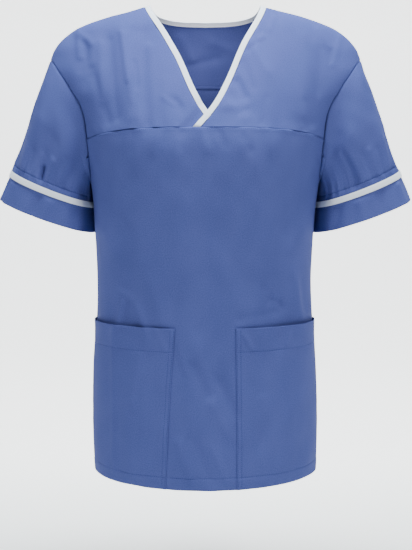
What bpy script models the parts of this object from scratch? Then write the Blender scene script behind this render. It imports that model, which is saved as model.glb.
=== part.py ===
"""A short-sleeved V-necked scrub tunic, filled out as if it were worn.

Metres, +Z up. The front faces -Y. Right and left are the wearer's, so right is -X. The origin is at the
height of the neck points, midway between the shoulders, where the wearer holds the tunic up.

A place on the body of the tunic is given by its turn, the angle from the centre front towards the
wearer's left, and by its drop, the height below the neck points. Each cut piece is a grid of such
places, lifted by the folds of the cloth, with a wall of one layer of cloth behind it.
"""

from collections import namedtuple

import bpy
import numpy as np

# Cloth and sewing
CLOTH = 0.0011             # wall of one layer of cloth
TRIM = 0.0018              # wall of the folded white binding and tape
SEAM_GAP = 0.0003          # between a piece and the one that lies on it
SEAM_DRAW = 0.0002         # how far each edge is drawn back from its seam line
RIDGE_DRAW = 0.0004        # the same where a bend at the seam turns the walls towards each other
NORMAL_STEP = 0.0004       # step for measuring which way a surface faces
CURVE_SAMPLES = 400        # points along a curved edge when its length is shared out

# Lengths down from the neck points
SHOULDER_TIP = 0.083       # top of the armhole
BACK_YOKE_SEAM = 0.120     # at the centre back
BACK_YOKE_END = 0.126      # where the back yoke seam meets the armhole
YOKE_SEAM = 0.1895         # at the centre front
YOKE_SEAM_END = 0.205      # where the front yoke seam meets the armhole
ARMPIT = 0.272
POCKET_TOP = 0.488
HEM = 0.7335

# Level sections of the body: its half width and its depths to front and back of the shoulder line
Ring = namedtuple("Ring", "drop half_width front_depth back_depth middle_x squareness")
RINGS = [
    Ring(-0.005, 0.0780, 0.0210, 0.044, 0.0000, 2.00),
    Ring(0.000, 0.0920, 0.0280, 0.052, 0.0000, 2.00),
    Ring(0.008, 0.1210, 0.0360, 0.062, 0.0000, 2.00),
    Ring(0.017, 0.1555, 0.0430, 0.070, 0.0000, 2.00),
    Ring(0.026, 0.1820, 0.0495, 0.076, 0.0000, 2.00),
    Ring(0.035, 0.2020, 0.0545, 0.081, 0.0000, 2.05),
    Ring(0.045, 0.2168, 0.0595, 0.086, 0.0000, 2.05),
    Ring(0.063, 0.2340, 0.0682, 0.093, 0.0000, 2.10),
    Ring(0.083, 0.2430, 0.0775, 0.099, 0.0000, 2.10),
    Ring(0.100, 0.2480, 0.0853, 0.104, 0.0000, 2.10),
    Ring(0.130, 0.2350, 0.0990, 0.110, 0.0000, 2.15),
    Ring(0.155, 0.2150, 0.1105, 0.115, 0.0000, 2.20),
    Ring(0.180, 0.2030, 0.1218, 0.118, 0.0000, 2.20),
    Ring(0.195, 0.1984, 0.1278, 0.119, 0.0000, 2.20),
    Ring(0.205, 0.1955, 0.1300, 0.120, 0.0000, 2.20),
    Ring(0.240, 0.1870, 0.1322, 0.121, -0.0005, 2.20),
    Ring(0.280, 0.1790, 0.1328, 0.120, -0.0010, 2.20),
    Ring(0.350, 0.1733, 0.1320, 0.118, -0.0020, 2.15),
    Ring(0.440, 0.1703, 0.1300, 0.116, -0.0020, 2.10),
    Ring(0.500, 0.1730, 0.1310, 0.118, -0.0015, 2.05),
    Ring(0.560, 0.1773, 0.1340, 0.122, -0.0015, 2.00),
    Ring(0.620, 0.1793, 0.1370, 0.125, -0.0010, 1.95),
    Ring(0.700, 0.1793, 0.1390, 0.128, -0.0005, 1.90),
    Ring(0.745, 0.1773, 0.1390, 0.128, 0.0000, 1.88),
]

# Neck edge of the cloth, where the binding starts, with x counted outwards from the middle. Each front
# edge runs past the middle, where the left one lies over the right one.
NeckPoint = namedtuple("NeckPoint", "drop x")
FRONT_NECK = {
    "right": [
        NeckPoint(0.0007, 0.0940),
        NeckPoint(0.0070, 0.0920),
        NeckPoint(0.0164, 0.0869),
        NeckPoint(0.0267, 0.0803),
        NeckPoint(0.0463, 0.0676),
        NeckPoint(0.0652, 0.0566),
        NeckPoint(0.0838, 0.0462),
        NeckPoint(0.1020, 0.0378),
        NeckPoint(0.1292, 0.0262),
        NeckPoint(0.1500, 0.0155),
        NeckPoint(0.1649, 0.0057),
        NeckPoint(0.1896, -0.0112),
    ],
    "left": [
        NeckPoint(0.0007, 0.0940),
        NeckPoint(0.0070, 0.0927),
        NeckPoint(0.0160, 0.0890),
        NeckPoint(0.0266, 0.0837),
        NeckPoint(0.0462, 0.0727),
        NeckPoint(0.0652, 0.0622),
        NeckPoint(0.0837, 0.0537),
        NeckPoint(0.1020, 0.0462),
        NeckPoint(0.1292, 0.0340),
        NeckPoint(0.1515, 0.0222),
        NeckPoint(0.1690, 0.0100),
        NeckPoint(0.1896, -0.0076),
    ],
}
BACK_NECK = [
    NeckPoint(0.0007, 0.0940),
    NeckPoint(0.0060, 0.0905),
    NeckPoint(0.0130, 0.0810),
    NeckPoint(0.0190, 0.0620),
    NeckPoint(0.0220, 0.0380),
    NeckPoint(0.0230, 0.0000),
]
BINDING_WIDTH = 0.0087
BINDING_CROWN = 0.0005     # how far the middle of the binding stands out
CrossPoint = namedtuple("CrossPoint", "across crown")     # as shares of the width and of the crown
BINDING_SECTION = [CrossPoint(0.0, 0.4), CrossPoint(0.3, 1.0), CrossPoint(0.7, 1.0), CrossPoint(1.0, 0.4)]

# Overlap at the foot of the V: the right yoke dips under the left one
LAP_DEPTH = 0.0031
LAP_RUN = 0.016            # width of the dip
LAP_MARGIN = 0.007         # the dip is complete this far before the left binding
LAP_SLANT = 1.36           # level width of the left binding at the overlap, over its own width

# Armhole: an oval seen from the side
ARMHOLE_FORWARD = 0.058
ARMHOLE_BACKWARD = 0.054
ARMHOLE_FULLNESS = 0.85    # under 1 the oval is squarer than an ellipse

# Sleeve sections: the outer and inner end of each, and half of its depth
SleeveRing = namedtuple("SleeveRing", "outer_x outer_drop inner_x inner_drop half_depth")
TAPE_TOP = SleeveRing(0.3055, 0.2531, 0.1803, 0.3035, 0.052)
BAND_SEAM = SleeveRing(0.3075, 0.2578, 0.1803, 0.3083, 0.0523)
TAPE_BOTTOM = SleeveRing(0.3094, 0.2625, 0.1803, 0.3130, 0.0526)
SLEEVE_HEM = SleeveRing(0.3257, 0.2990, 0.1765, 0.3520, 0.055)
ARMPIT_GAP = 0.0006        # how far the sleeve's edge stands off the body's side at the armpit
SLEEVE_DIP = 0.079         # slope of a sleeve section down towards the front
SLEEVE_SPREAD = 0.55       # how far the sleeve leaves the armhole sideways
SLEEVE_BULGE = 0.35        # how far it leaves the armhole towards the front and the back

# Pockets: their inner edges at the mouth, and how far the right one leans out at the hem
POCKET_COLUMN = {"right": 0.161, "left": 0.172}     # share of the way from centre front to side seam
POCKET_LEAN = 0.088        # radians at the hem
POCKET_GAPE = 0.0055       # how far the middle of the mouth stands off
POCKET_GAPE_DROP = 0.060   # length over which that closes

# How the rows and columns of the two lower panels settle below the yoke seam
WIDENING_START = 0.200     # the inner columns begin to widen at this drop
WIDENING_RUN = 0.150       # and reach their full width after this much more
EDGE_POWER = 6             # how closely the columns near an edge keep to it
ARCH_FADE = 0.230          # the rows are level this far below the top

# Folds: ridges (rise over 0) and troughs on the front and back, from one point to another
Fold = namedtuple("Fold", "x drop to_x to_drop half_width rise")
FRONT_FOLDS = [
    Fold(-0.130, 0.045, -0.112, 0.165, 0.018, 0.0026),
    Fold(-0.156, 0.060, -0.140, 0.165, 0.016, -0.0026),
    Fold(-0.092, 0.055, -0.080, 0.165, 0.016, -0.0016),
    Fold(-0.192, 0.055, -0.184, 0.115, 0.016, -0.0022),
    Fold(0.060, 0.050, 0.092, 0.110, 0.017, 0.0020),
    Fold(0.044, 0.110, 0.060, 0.160, 0.017, -0.0018),
    Fold(0.198, 0.062, 0.176, 0.130, 0.017, -0.0022),
    Fold(0.146, 0.055, 0.136, 0.160, 0.018, 0.0018),
    Fold(-0.090, 0.395, -0.066, 0.478, 0.018, 0.0028),
    Fold(-0.122, 0.420, -0.112, 0.490, 0.017, -0.0024),
    Fold(0.098, 0.420, 0.112, 0.490, 0.018, -0.0026),
    Fold(0.132, 0.400, 0.142, 0.478, 0.017, 0.0024),
    Fold(-0.018, 0.520, -0.030, 0.700, 0.024, 0.0024),
    Fold(0.028, 0.560, 0.034, 0.650, 0.020, -0.0020),
    Fold(-0.100, 0.560, -0.106, 0.700, 0.020, 0.0022),
    Fold(0.080, 0.530, 0.086, 0.660, 0.018, -0.0020),
    Fold(0.118, 0.540, 0.122, 0.700, 0.020, 0.0022),
    Fold(-0.060, 0.230, -0.080, 0.360, 0.028, 0.0022),
    Fold(0.070, 0.225, 0.095, 0.370, 0.028, 0.0022),
    Fold(-0.118, 0.250, -0.124, 0.350, 0.018, -0.0018),
]
BACK_FOLDS = [
    Fold(-0.130, 0.045, -0.124, 0.096, 0.016, 0.0026),
    Fold(0.124, 0.045, 0.118, 0.094, 0.017, 0.0026),
    Fold(-0.060, 0.160, -0.066, 0.300, 0.018, -0.0028),
    Fold(0.052, 0.165, 0.060, 0.290, 0.018, -0.0026),
    Fold(-0.120, 0.200, -0.100, 0.330, 0.018, 0.0026),
    Fold(0.124, 0.210, 0.104, 0.340, 0.018, 0.0028),
    Fold(-0.050, 0.400, -0.075, 0.520, 0.020, 0.0028),
    Fold(0.060, 0.390, 0.084, 0.530, 0.020, 0.0028),
    Fold(0.006, 0.420, 0.000, 0.560, 0.018, -0.0024),
    Fold(-0.110, 0.540, -0.116, 0.700, 0.022, -0.0024),
    Fold(0.112, 0.560, 0.118, 0.700, 0.022, -0.0022),
    Fold(-0.020, 0.580, -0.014, 0.710, 0.020, 0.0024),
]
FOLD_FADE = 0.30           # folds die out within this cosine of the side seam

# Sleeve folds run from one place to another: the turn round the sleeve from its top line in radians, to
# the front when over 0, and the share of the way down
SleeveFold = namedtuple("SleeveFold", "turn down to_turn to_down half_width rise")
SLEEVE_FOLDS = {
    "right": [
        SleeveFold(1.30, 0.50, 1.36, 1.00, 0.012, -0.0026),
        SleeveFold(2.20, 0.20, 1.90, 0.90, 0.016, -0.0034),
        SleeveFold(0.85, 0.45, 0.80, 0.98, 0.014, 0.0020),
        SleeveFold(-1.20, 0.25, -1.35, 0.95, 0.015, -0.0030),
        SleeveFold(-2.00, 0.20, -1.90, 0.90, 0.014, 0.0026),
    ],
    "left": [
        SleeveFold(2.00, 0.25, 1.80, 0.90, 0.016, -0.0034),
        SleeveFold(1.45, 0.40, 1.40, 0.98, 0.013, 0.0022),
        SleeveFold(0.75, 0.50, 0.80, 0.98, 0.014, 0.0020),
        SleeveFold(-1.10, 0.30, -1.25, 0.95, 0.015, 0.0028),
        SleeveFold(-1.80, 0.25, -1.95, 0.90, 0.015, -0.0030),
    ],
}
SLEEVE_FOLD_RADIUS = 0.065     # turns a sleeve angle into a width
SLEEVE_FOLD_LENGTH = 0.170     # turns a share of the way down into a length
SLEEVE_FOLD_START = 0.20       # the folds grow over this share of the way below the armhole
SLEEVE_FOLD_END = 0.12         # and die out over this share above the tape

# Colours
BLUE = (0.095, 0.150, 0.400, 1.0)
WHITE = (0.78, 0.80, 0.85, 1.0)

SIDES = {"right": -1.0, "left": 1.0}


def clear_scene():
    """Remove the objects that a new file starts with."""
    for thing in list(bpy.data.objects):
        bpy.data.objects.remove(thing, do_unlink=True)


def curve_through(at, places, values):
    """Smooth curve through the values, with each slope taken from the neighbours."""
    places = np.asarray(places, float)
    values = np.asarray(values, float)
    slopes = np.gradient(values, places)
    i = np.clip(np.searchsorted(places, at) - 1, 0, len(places) - 2)
    span = places[i + 1] - places[i]
    t = (at - places[i]) / span
    from_start = (1 + 2 * t) * (1 - t) ** 2 * values[i] + t * (1 - t) ** 2 * span * slopes[i]
    to_end = t * t * (3 - 2 * t) * values[i + 1] + t * t * (t - 1) * span * slopes[i + 1]
    return from_start + to_end


def column_of(table, name):
    """One named column of a table, as an array."""
    return np.array([getattr(row, name) for row in table])


def ring_size(name, drop):
    """A named size of the body's section at this drop."""
    return curve_through(drop, column_of(RINGS, "drop"), column_of(RINGS, name))


def smooth_step(t):
    """Ease from 0 to 1."""
    t = np.clip(t, 0.0, 1.0)
    return t * t * (3 - 2 * t)


def unit(vectors):
    """The vectors at length one."""
    return vectors / np.linalg.norm(vectors, axis=-1, keepdims=True)


def body_form(turn, drop):
    """The smooth body: a squarish oval section at each drop."""
    n = ring_size("squareness", drop)
    reach = (np.abs(np.sin(turn)) ** n + np.abs(np.cos(turn)) ** n) ** (-1 / n)
    depth = np.where(np.cos(turn) > 0, ring_size("front_depth", drop), ring_size("back_depth", drop))
    x = ring_size("middle_x", drop) + ring_size("half_width", drop) * reach * np.sin(turn)
    return np.stack([x, -depth * reach * np.cos(turn), -drop + 0 * turn], -1)


def body_normal(turn, drop):
    """The way the smooth body faces, outwards."""
    across = body_form(turn + NORMAL_STEP, drop) - body_form(turn - NORMAL_STEP, drop)
    down = body_form(turn, drop + NORMAL_STEP) - body_form(turn, drop - NORMAL_STEP)
    return unit(np.cross(down, across))


def fold_rise(folds, across, down):
    """Sum of the folds at each place: each a soft ridge or trough along a straight line."""
    rise = np.zeros(np.shape(across))
    for start_x, start_down, end_x, end_down, half_width, height in folds:
        run_x, run_down = end_x - start_x, end_down - start_down
        along = (across - start_x) * run_x + (down - start_down) * run_down
        along = np.clip(along / (run_x ** 2 + run_down ** 2), 0.0, 1.0)
        away = np.hypot(across - start_x - along * run_x, down - start_down - along * run_down)
        rise += height * np.exp(-(away / half_width) ** 2)
    return rise


def body_skin(turn, drop, lift=0.0):
    """The outside of the cloth: the smooth body with its folds, lifted by a further amount."""
    place = body_form(turn, drop)
    facing = np.cos(turn)
    rise = np.where(facing > 0, fold_rise(FRONT_FOLDS, place[..., 0], -place[..., 2]),
                    fold_rise(BACK_FOLDS, place[..., 0], -place[..., 2]))
    rise = rise * smooth_step(np.abs(facing) / FOLD_FADE) + lift
    return place + body_normal(turn, drop) * rise[..., None]


def turn_at_x(x, drop):
    """The turn at which the front of the body has this x."""
    n = ring_size("squareness", drop)
    share = np.clip((x - ring_size("middle_x", drop)) / ring_size("half_width", drop), -1.0, 1.0)
    return np.arctan2(share, (1 - np.abs(share) ** n) ** (1 / n))


def turn_at_depth(depth_share, drop):
    """The turn on the wearer's left front at this share of the front depth."""
    n = ring_size("squareness", drop)
    return np.arctan2((1 - depth_share ** n) ** (1 / n), depth_share)


def armhole(angle, face):
    """Turn and drop of the left armhole, from its top (angle 0) to the armpit (pi)."""
    middle, half = (SHOULDER_TIP + ARMPIT) / 2, (ARMPIT - SHOULDER_TIP) / 2
    drop = middle - half * np.cos(angle)
    swell = np.sin(np.clip(angle, 0, np.pi)) ** ARMHOLE_FULLNESS
    if face == "front":
        return turn_at_depth(ARMHOLE_FORWARD * swell / ring_size("front_depth", drop), drop), drop
    return np.pi - turn_at_depth(ARMHOLE_BACKWARD * swell / ring_size("back_depth", drop), drop), drop


def armhole_angle(drop):
    """The armhole angle at this drop."""
    middle, half = (SHOULDER_TIP + ARMPIT) / 2, (ARMPIT - SHOULDER_TIP) / 2
    return np.arccos((middle - drop) / half)


def steps(count, border=0.0):
    """Shares from 0 to 1 in even steps, with a narrow one at each end where a border is given."""
    if border == 0.0:
        return np.linspace(0.0, 1.0, count + 1)
    return np.concatenate([[0.0], np.linspace(border, 1.0 - border, count - 1), [1.0]])


# Rows of the pieces beside the armhole, shared by the sleeve, then the rows below it
YOKE_ROWS = steps(10, 0.02)
FRONT_ARMHOLE_ROWS = steps(5, 0.05)
BACK_YOKE_ROWS = steps(5, 0.05)
BACK_ARMHOLE_ROWS = steps(9, 0.03)
WAIST_ROWS = steps(10)
POCKET_ROWS = steps(12)
BACK_ROWS = steps(18)
SLEEVE_ROWS = steps(8, 0.02)

# Columns, each counted from the centre front or back towards an edge
YOKE_COLUMNS = steps(13, 0.02)
BACK_SHOULDER_COLUMNS = steps(9, 0.03)
BACK_NECK_COLUMNS = steps(7)
BETWEEN_POCKETS = np.array([0.25, 0.57, 1.0])     # shares of the way to the pocket's edge
ACROSS_POCKET = np.array([0.235, 0.31, 0.39, 0.475, 0.565, 0.655, 0.745, 0.83, 0.905, 0.975, 1.0])
ACROSS_BACK = np.array([0.10, 0.20, 0.30, 0.40, 0.50, 0.60, 0.70, 0.79, 0.87, 0.94, 0.98, 1.0])

# The armhole angles at which the two yoke seams end
FRONT_SPLIT = armhole_angle(YOKE_SEAM_END)
BACK_SPLIT = armhole_angle(BACK_YOKE_END)


def part_way(start, end, shares):
    """Values from start to end."""
    return start + (end - start) * shares


def width_share(turn, drop):
    """The share of the half width that the section reaches at this turn."""
    n = ring_size("squareness", drop)
    across, along = np.abs(np.sin(turn)), np.abs(np.cos(turn))
    return across / (across ** n + along ** n) ** (1 / n)


def arched_seam(turn, middle_drop, end_drop, end_turn):
    """A seam across the body: level in the middle, dropping by the fourth power of the share of its width."""
    share = width_share(turn, middle_drop) / width_share(end_turn, middle_drop)
    return middle_drop + (end_drop - middle_drop) * share ** 4


def yoke_seam_drop(turn):
    """The front yoke seam."""
    return arched_seam(turn, YOKE_SEAM, YOKE_SEAM_END, armhole(FRONT_SPLIT, "front")[0])


def back_seam_drop(turn):
    """The back yoke seam."""
    return arched_seam(turn, BACK_YOKE_SEAM, BACK_YOKE_END, armhole(BACK_SPLIT, "back")[0])


def shoulder_drop(x):
    """The drop at which the top line of the shoulder has this x."""
    drops = np.linspace(0.0, SHOULDER_TIP, CURVE_SAMPLES)
    return np.interp(x, ring_size("half_width", drops), drops)


def neck_line(table, shares, front):
    """Turn and drop along a neck edge, from the shoulder seam, at shares of its length."""
    drop, x = column_of(table, "drop"), column_of(table, "x")
    places = np.arange(len(table), dtype=float)
    fine = np.linspace(0, len(table) - 1, CURVE_SAMPLES)
    fine_drop, fine_x = curve_through(fine, places, drop), curve_through(fine, places, x)
    fine_turn = turn_at_x(fine_x, fine_drop)
    if not front:
        fine_turn = np.pi - fine_turn
    run = np.linalg.norm(np.diff(body_form(fine_turn, fine_drop), axis=0), axis=-1)
    length = np.concatenate([[0.0], np.cumsum(run)])
    at = shares * length[-1]
    return np.interp(at, length, fine_turn), np.interp(at, length, fine_drop)


def blended_patch(top, bottom, left, right, across, down):
    """Places inside four edge lines: the two ways of joining opposite edges, less the corners."""
    u = across[None, :, None]
    v = down[:, None, None]
    between_rows = (1 - v) * top[None] + v * bottom[None]
    between_columns = (1 - u) * left[:, None] + u * right[:, None]
    corners = ((1 - u) * (1 - v) * top[0] + u * (1 - v) * top[-1]
               + (1 - u) * v * bottom[0] + u * v * bottom[-1])
    return between_rows + between_columns - corners


def drawn_back(grid, edges, gap=SEAM_DRAW):
    """The grid with the named edges moved in by the seam gap. Rows run down, columns across."""
    grid = grid.copy()
    if "top" in edges:
        grid[0] += unit(grid[1] - grid[0]) * gap
    if "bottom" in edges:
        grid[-1] += unit(grid[-2] - grid[-1]) * gap
    if "first" in edges:
        grid[:, 0] += unit(grid[:, 1] - grid[:, 0]) * gap
    if "last" in edges:
        grid[:, -1] += unit(grid[:, -2] - grid[:, -1]) * gap
    return grid


def finish(name, colour, roughness):
    """A plain material in the piece's own colour."""
    material = bpy.data.materials.new(name + "_finish")
    material.use_nodes = True
    shader = material.node_tree.nodes["Principled BSDF"]
    shader.inputs["Base Color"].default_value = colour
    shader.inputs["Roughness"].default_value = roughness
    shader.inputs["Metallic"].default_value = 0.0
    return material


def sewn_piece(name, grid, collection, wall=CLOTH, closed=False, colour=BLUE, roughness=0.7):
    """One piece of cloth: a sheet over the grid, with its wall inside. A closed grid is a tube."""
    rows, columns = grid.shape[:2]
    index = np.arange(rows * columns).reshape(rows, columns)
    if closed:
        index = np.concatenate([index, index[:, :1]], axis=1)
    a, b = index[:-1, :-1].ravel(), index[1:, :-1].ravel()
    c, d = index[1:, 1:].ravel(), index[:-1, 1:].ravel()
    faces = np.concatenate([np.stack([a, b, c], -1), np.stack([a, c, d], -1)])
    mesh = bpy.data.meshes.new(name)
    mesh.from_pydata(grid.reshape(-1, 3).tolist(), [], faces.tolist())
    mesh.shade_smooth()
    mesh.materials.append(finish(name, colour, roughness))
    piece = bpy.data.objects.new(name, mesh)
    collection.objects.link(piece)
    shell = piece.modifiers.new("wall", "SOLIDIFY")
    shell.thickness = wall
    shell.offset = -1.0
    return piece


def mirrored(turn, side):
    """The same turn on the wearer's left (side over 0) or on the right."""
    return turn if side > 0 else -turn


def lap_dip(grid_x, drop):
    """How far the right yoke and its binding sink to pass under the left binding."""
    edge_x = curve_through(drop, column_of(FRONT_NECK["left"], "drop"), column_of(FRONT_NECK["left"], "x"))
    full_dip = edge_x - BINDING_WIDTH * LAP_SLANT - LAP_MARGIN
    return -LAP_DEPTH * smooth_step(1 - (full_dip - grid_x) / LAP_RUN)


def yoke_skin(turn, drop, side, lift=0.0):
    """The cloth of a front yoke. The right one dips at the overlap."""
    if side < 0:
        lift = lift + lap_dip(body_form(turn, drop)[..., 0], drop)
    else:
        lift = lift + 0 * turn
    return body_skin(turn, drop, lift)


def make_front_yoke(side_name, collection):
    """A front yoke: shoulder seam, armhole, yoke seam and neck edge."""
    side = SIDES[side_name]
    down, across = YOKE_ROWS, YOKE_COLUMNS
    neck_turn, neck_drop = neck_line(FRONT_NECK[side_name], down, front=True)
    arm_turn, arm_drop = armhole(FRONT_SPLIT * down, "front")
    shoulder_x = part_way(FRONT_NECK[side_name][0].x, ring_size("half_width", SHOULDER_TIP), across)
    top_drop = shoulder_drop(shoulder_x)
    top = np.stack([np.full_like(top_drop, np.pi / 2), top_drop], -1)
    seam_turn = part_way(neck_turn[-1], arm_turn[-1], across)
    bottom = np.stack([seam_turn, yoke_seam_drop(seam_turn)], -1)
    neck_edge = np.stack([neck_turn, neck_drop], -1)
    arm_edge = np.stack([arm_turn, arm_drop], -1)
    neck_edge[-1], arm_edge[-1] = bottom[0], bottom[-1]
    neck_edge[0], arm_edge[0] = top[0], top[-1]
    chart = blended_patch(top, bottom, neck_edge, arm_edge, across, down)
    grid = yoke_skin(mirrored(chart[..., 0], side), chart[..., 1], side)
    if side < 0:
        grid = grid[:, ::-1]
    grid = drawn_back(drawn_back(grid, ("bottom", "first", "last")), ("top",), RIDGE_DRAW)
    return sewn_piece("front_yoke_" + side_name, grid, collection)


def make_back_yoke(collection):
    """The back yoke: two shoulder seams and the back neck above, the back yoke seam below."""
    down = BACK_YOKE_ROWS
    shoulder_x = part_way(ring_size("half_width", SHOULDER_TIP), BACK_NECK[0].x, BACK_SHOULDER_COLUMNS)
    shoulder = np.stack([np.full_like(shoulder_x, np.pi / 2), shoulder_drop(shoulder_x)], -1)
    neck = np.stack(neck_line(BACK_NECK, BACK_NECK_COLUMNS, front=False), -1)
    half = np.concatenate([shoulder, neck[1:]])
    other = np.stack([2 * np.pi - half[::-1, 0], half[::-1, 1]], -1)[1:]
    top = np.concatenate([half, other])
    form = body_form(top[:, 0], top[:, 1])
    across = np.concatenate([[0.0], np.cumsum(np.linalg.norm(np.diff(form, axis=0), axis=-1))])
    across = across / across[-1]
    arm_turn, arm_drop = armhole(BACK_SPLIT * down, "back")
    seam_turn = part_way(arm_turn[-1], 2 * np.pi - arm_turn[-1], across)
    bottom = np.stack([seam_turn, back_seam_drop(seam_turn)], -1)
    left_edge = np.stack([arm_turn, arm_drop], -1)
    right_edge = np.stack([2 * np.pi - arm_turn, arm_drop], -1)
    chart = blended_patch(top, bottom, left_edge, right_edge, across, down)
    grid = body_skin(chart[..., 0], chart[..., 1])
    grid = drawn_back(drawn_back(grid, ("bottom", "first", "last")), ("top",), RIDGE_DRAW)
    return sewn_piece("back_yoke", grid, collection)


def panel_chart(columns, row_drops, edge_turns, top_drop, centre_turn):
    """Places of a lower panel: level rows that ease into the yoke seam at the top.

    columns run from -1 to 1 between the edges, and edge_turns gives the half angle of each row. Near the
    centre the columns widen slowly below the armhole, and at the edges they follow it.
    """
    depth = row_drops - row_drops[0]
    widening = smooth_step((row_drops - WIDENING_START) / WIDENING_RUN)
    widened = part_way(edge_turns.min(), edge_turns[-1], widening)
    edgeward = columns[None, :] ** EDGE_POWER
    half_turn = (1 - edgeward) * widened[:, None] + edgeward * edge_turns[:, None]
    turn = centre_turn + columns[None, :] * half_turn
    arch = top_drop(turn[0]) - row_drops[0]
    fade = (1 - depth / ARCH_FADE).clip(0, 1) ** 2
    drop = row_drops[:, None] + fade[:, None] * arch[None, :]
    return turn, drop


def lean(columns, drop):
    """How far the lower front turns on the wearer's right, where the pocket edge leans out."""
    edge = POCKET_COLUMN["right"]
    reach = np.where(columns < -edge, 1 - edge, edge)
    from_edge = np.clip(1 - np.abs(columns + edge) / reach, 0, 1)
    fall = np.clip((drop - POCKET_TOP) / (HEM - POCKET_TOP), 0, 1)
    return -POCKET_LEAN * smooth_step(from_edge)[None, :] * fall


def front_layout():
    """Columns and rows of the front body, with a column at each pocket edge and a row at its top."""
    right = -np.concatenate([BETWEEN_POCKETS * POCKET_COLUMN["right"], ACROSS_POCKET])
    left = np.concatenate([BETWEEN_POCKETS * POCKET_COLUMN["left"], ACROSS_POCKET])
    columns = np.concatenate([right[::-1], [0.0], left])
    angles = part_way(FRONT_SPLIT, np.pi, FRONT_ARMHOLE_ROWS)
    arm_turn, arm_drop = armhole(angles, "front")
    above_pockets = part_way(ARMPIT, POCKET_TOP, WAIST_ROWS)[1:]
    beside_pockets = part_way(POCKET_TOP, HEM, POCKET_ROWS)[1:]
    row_drops = np.concatenate([arm_drop, above_pockets, beside_pockets])
    edges = np.concatenate([arm_turn, np.full(len(row_drops) - len(arm_turn), np.pi / 2)])
    return columns, row_drops, edges


def make_front(collection):
    """The front body, and the two pockets as slices of its own grid, moved out."""
    columns, row_drops, edges = front_layout()
    turn, drop = panel_chart(columns, row_drops, edges, yoke_seam_drop, 0.0)
    turn = turn + lean(columns, drop)
    sewn_piece("front_body", drawn_back(body_skin(turn, drop), ("top", "first", "last")), collection)

    top_row = int(np.argmin(np.abs(row_drops - POCKET_TOP)))
    for side_name, side in SIDES.items():
        edge = POCKET_COLUMN[side_name]
        inner = int(np.argmin(np.abs(columns - side * edge)))
        part = slice(inner, None) if side > 0 else slice(0, inner + 1)
        part_turn, part_drop = turn[top_row:, part], drop[top_row:, part]
        across = (np.abs(columns[part]) - edge) / (1 - edge)
        shut = (1 - (part_drop - POCKET_TOP) / POCKET_GAPE_DROP).clip(0, 1) ** 2
        gape = POCKET_GAPE * np.sin(np.pi * across) ** 0.8 * shut
        grid = body_skin(part_turn, part_drop, SEAM_GAP + CLOTH + gape)
        sewn_piece("pocket_" + side_name, drawn_back(grid, ("first", "last")), collection)


def make_back(collection):
    """The back body, from the back yoke seam to the hem."""
    columns = np.concatenate([-ACROSS_BACK[::-1], [0.0], ACROSS_BACK])
    angles = part_way(BACK_SPLIT, np.pi, BACK_ARMHOLE_ROWS)
    arm_turn, arm_drop = armhole(angles, "back")
    below = part_way(ARMPIT, HEM, BACK_ROWS)[1:]
    row_drops = np.concatenate([arm_drop, below])
    edges = np.concatenate([np.pi - arm_turn, np.full(len(below), np.pi / 2)])
    turn, drop = panel_chart(columns, row_drops, edges, back_seam_drop, np.pi)
    grid = drawn_back(body_skin(turn, drop), ("top", "first", "last"))
    sewn_piece("back_body", grid, collection)


def sleeve_ring(ring, angle, side):
    """A tilted oval section of the sleeve. Angle 0 is its outer end, and the front is over 0."""
    outer = np.array([side * ring.outer_x, 0.0, -ring.outer_drop])
    inner = np.array([side * ring.inner_x, 0.0, -ring.inner_drop])
    forward = np.array([0.0, -1.0, -SLEEVE_DIP]) * ring.half_depth
    centre = (outer + inner) / 2
    return centre + np.cos(angle)[:, None] * (outer - inner) / 2 + np.sin(angle)[:, None] * forward


def sleeve_columns():
    """Angles round the armhole from its top, down the front and up the back, at the body's own rows."""
    front = np.concatenate([FRONT_SPLIT * YOKE_ROWS, part_way(FRONT_SPLIT, np.pi, FRONT_ARMHOLE_ROWS)[1:]])
    back = np.concatenate([BACK_SPLIT * BACK_YOKE_ROWS, part_way(BACK_SPLIT, np.pi, BACK_ARMHOLE_ROWS)[1:]])
    return front, back


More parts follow.
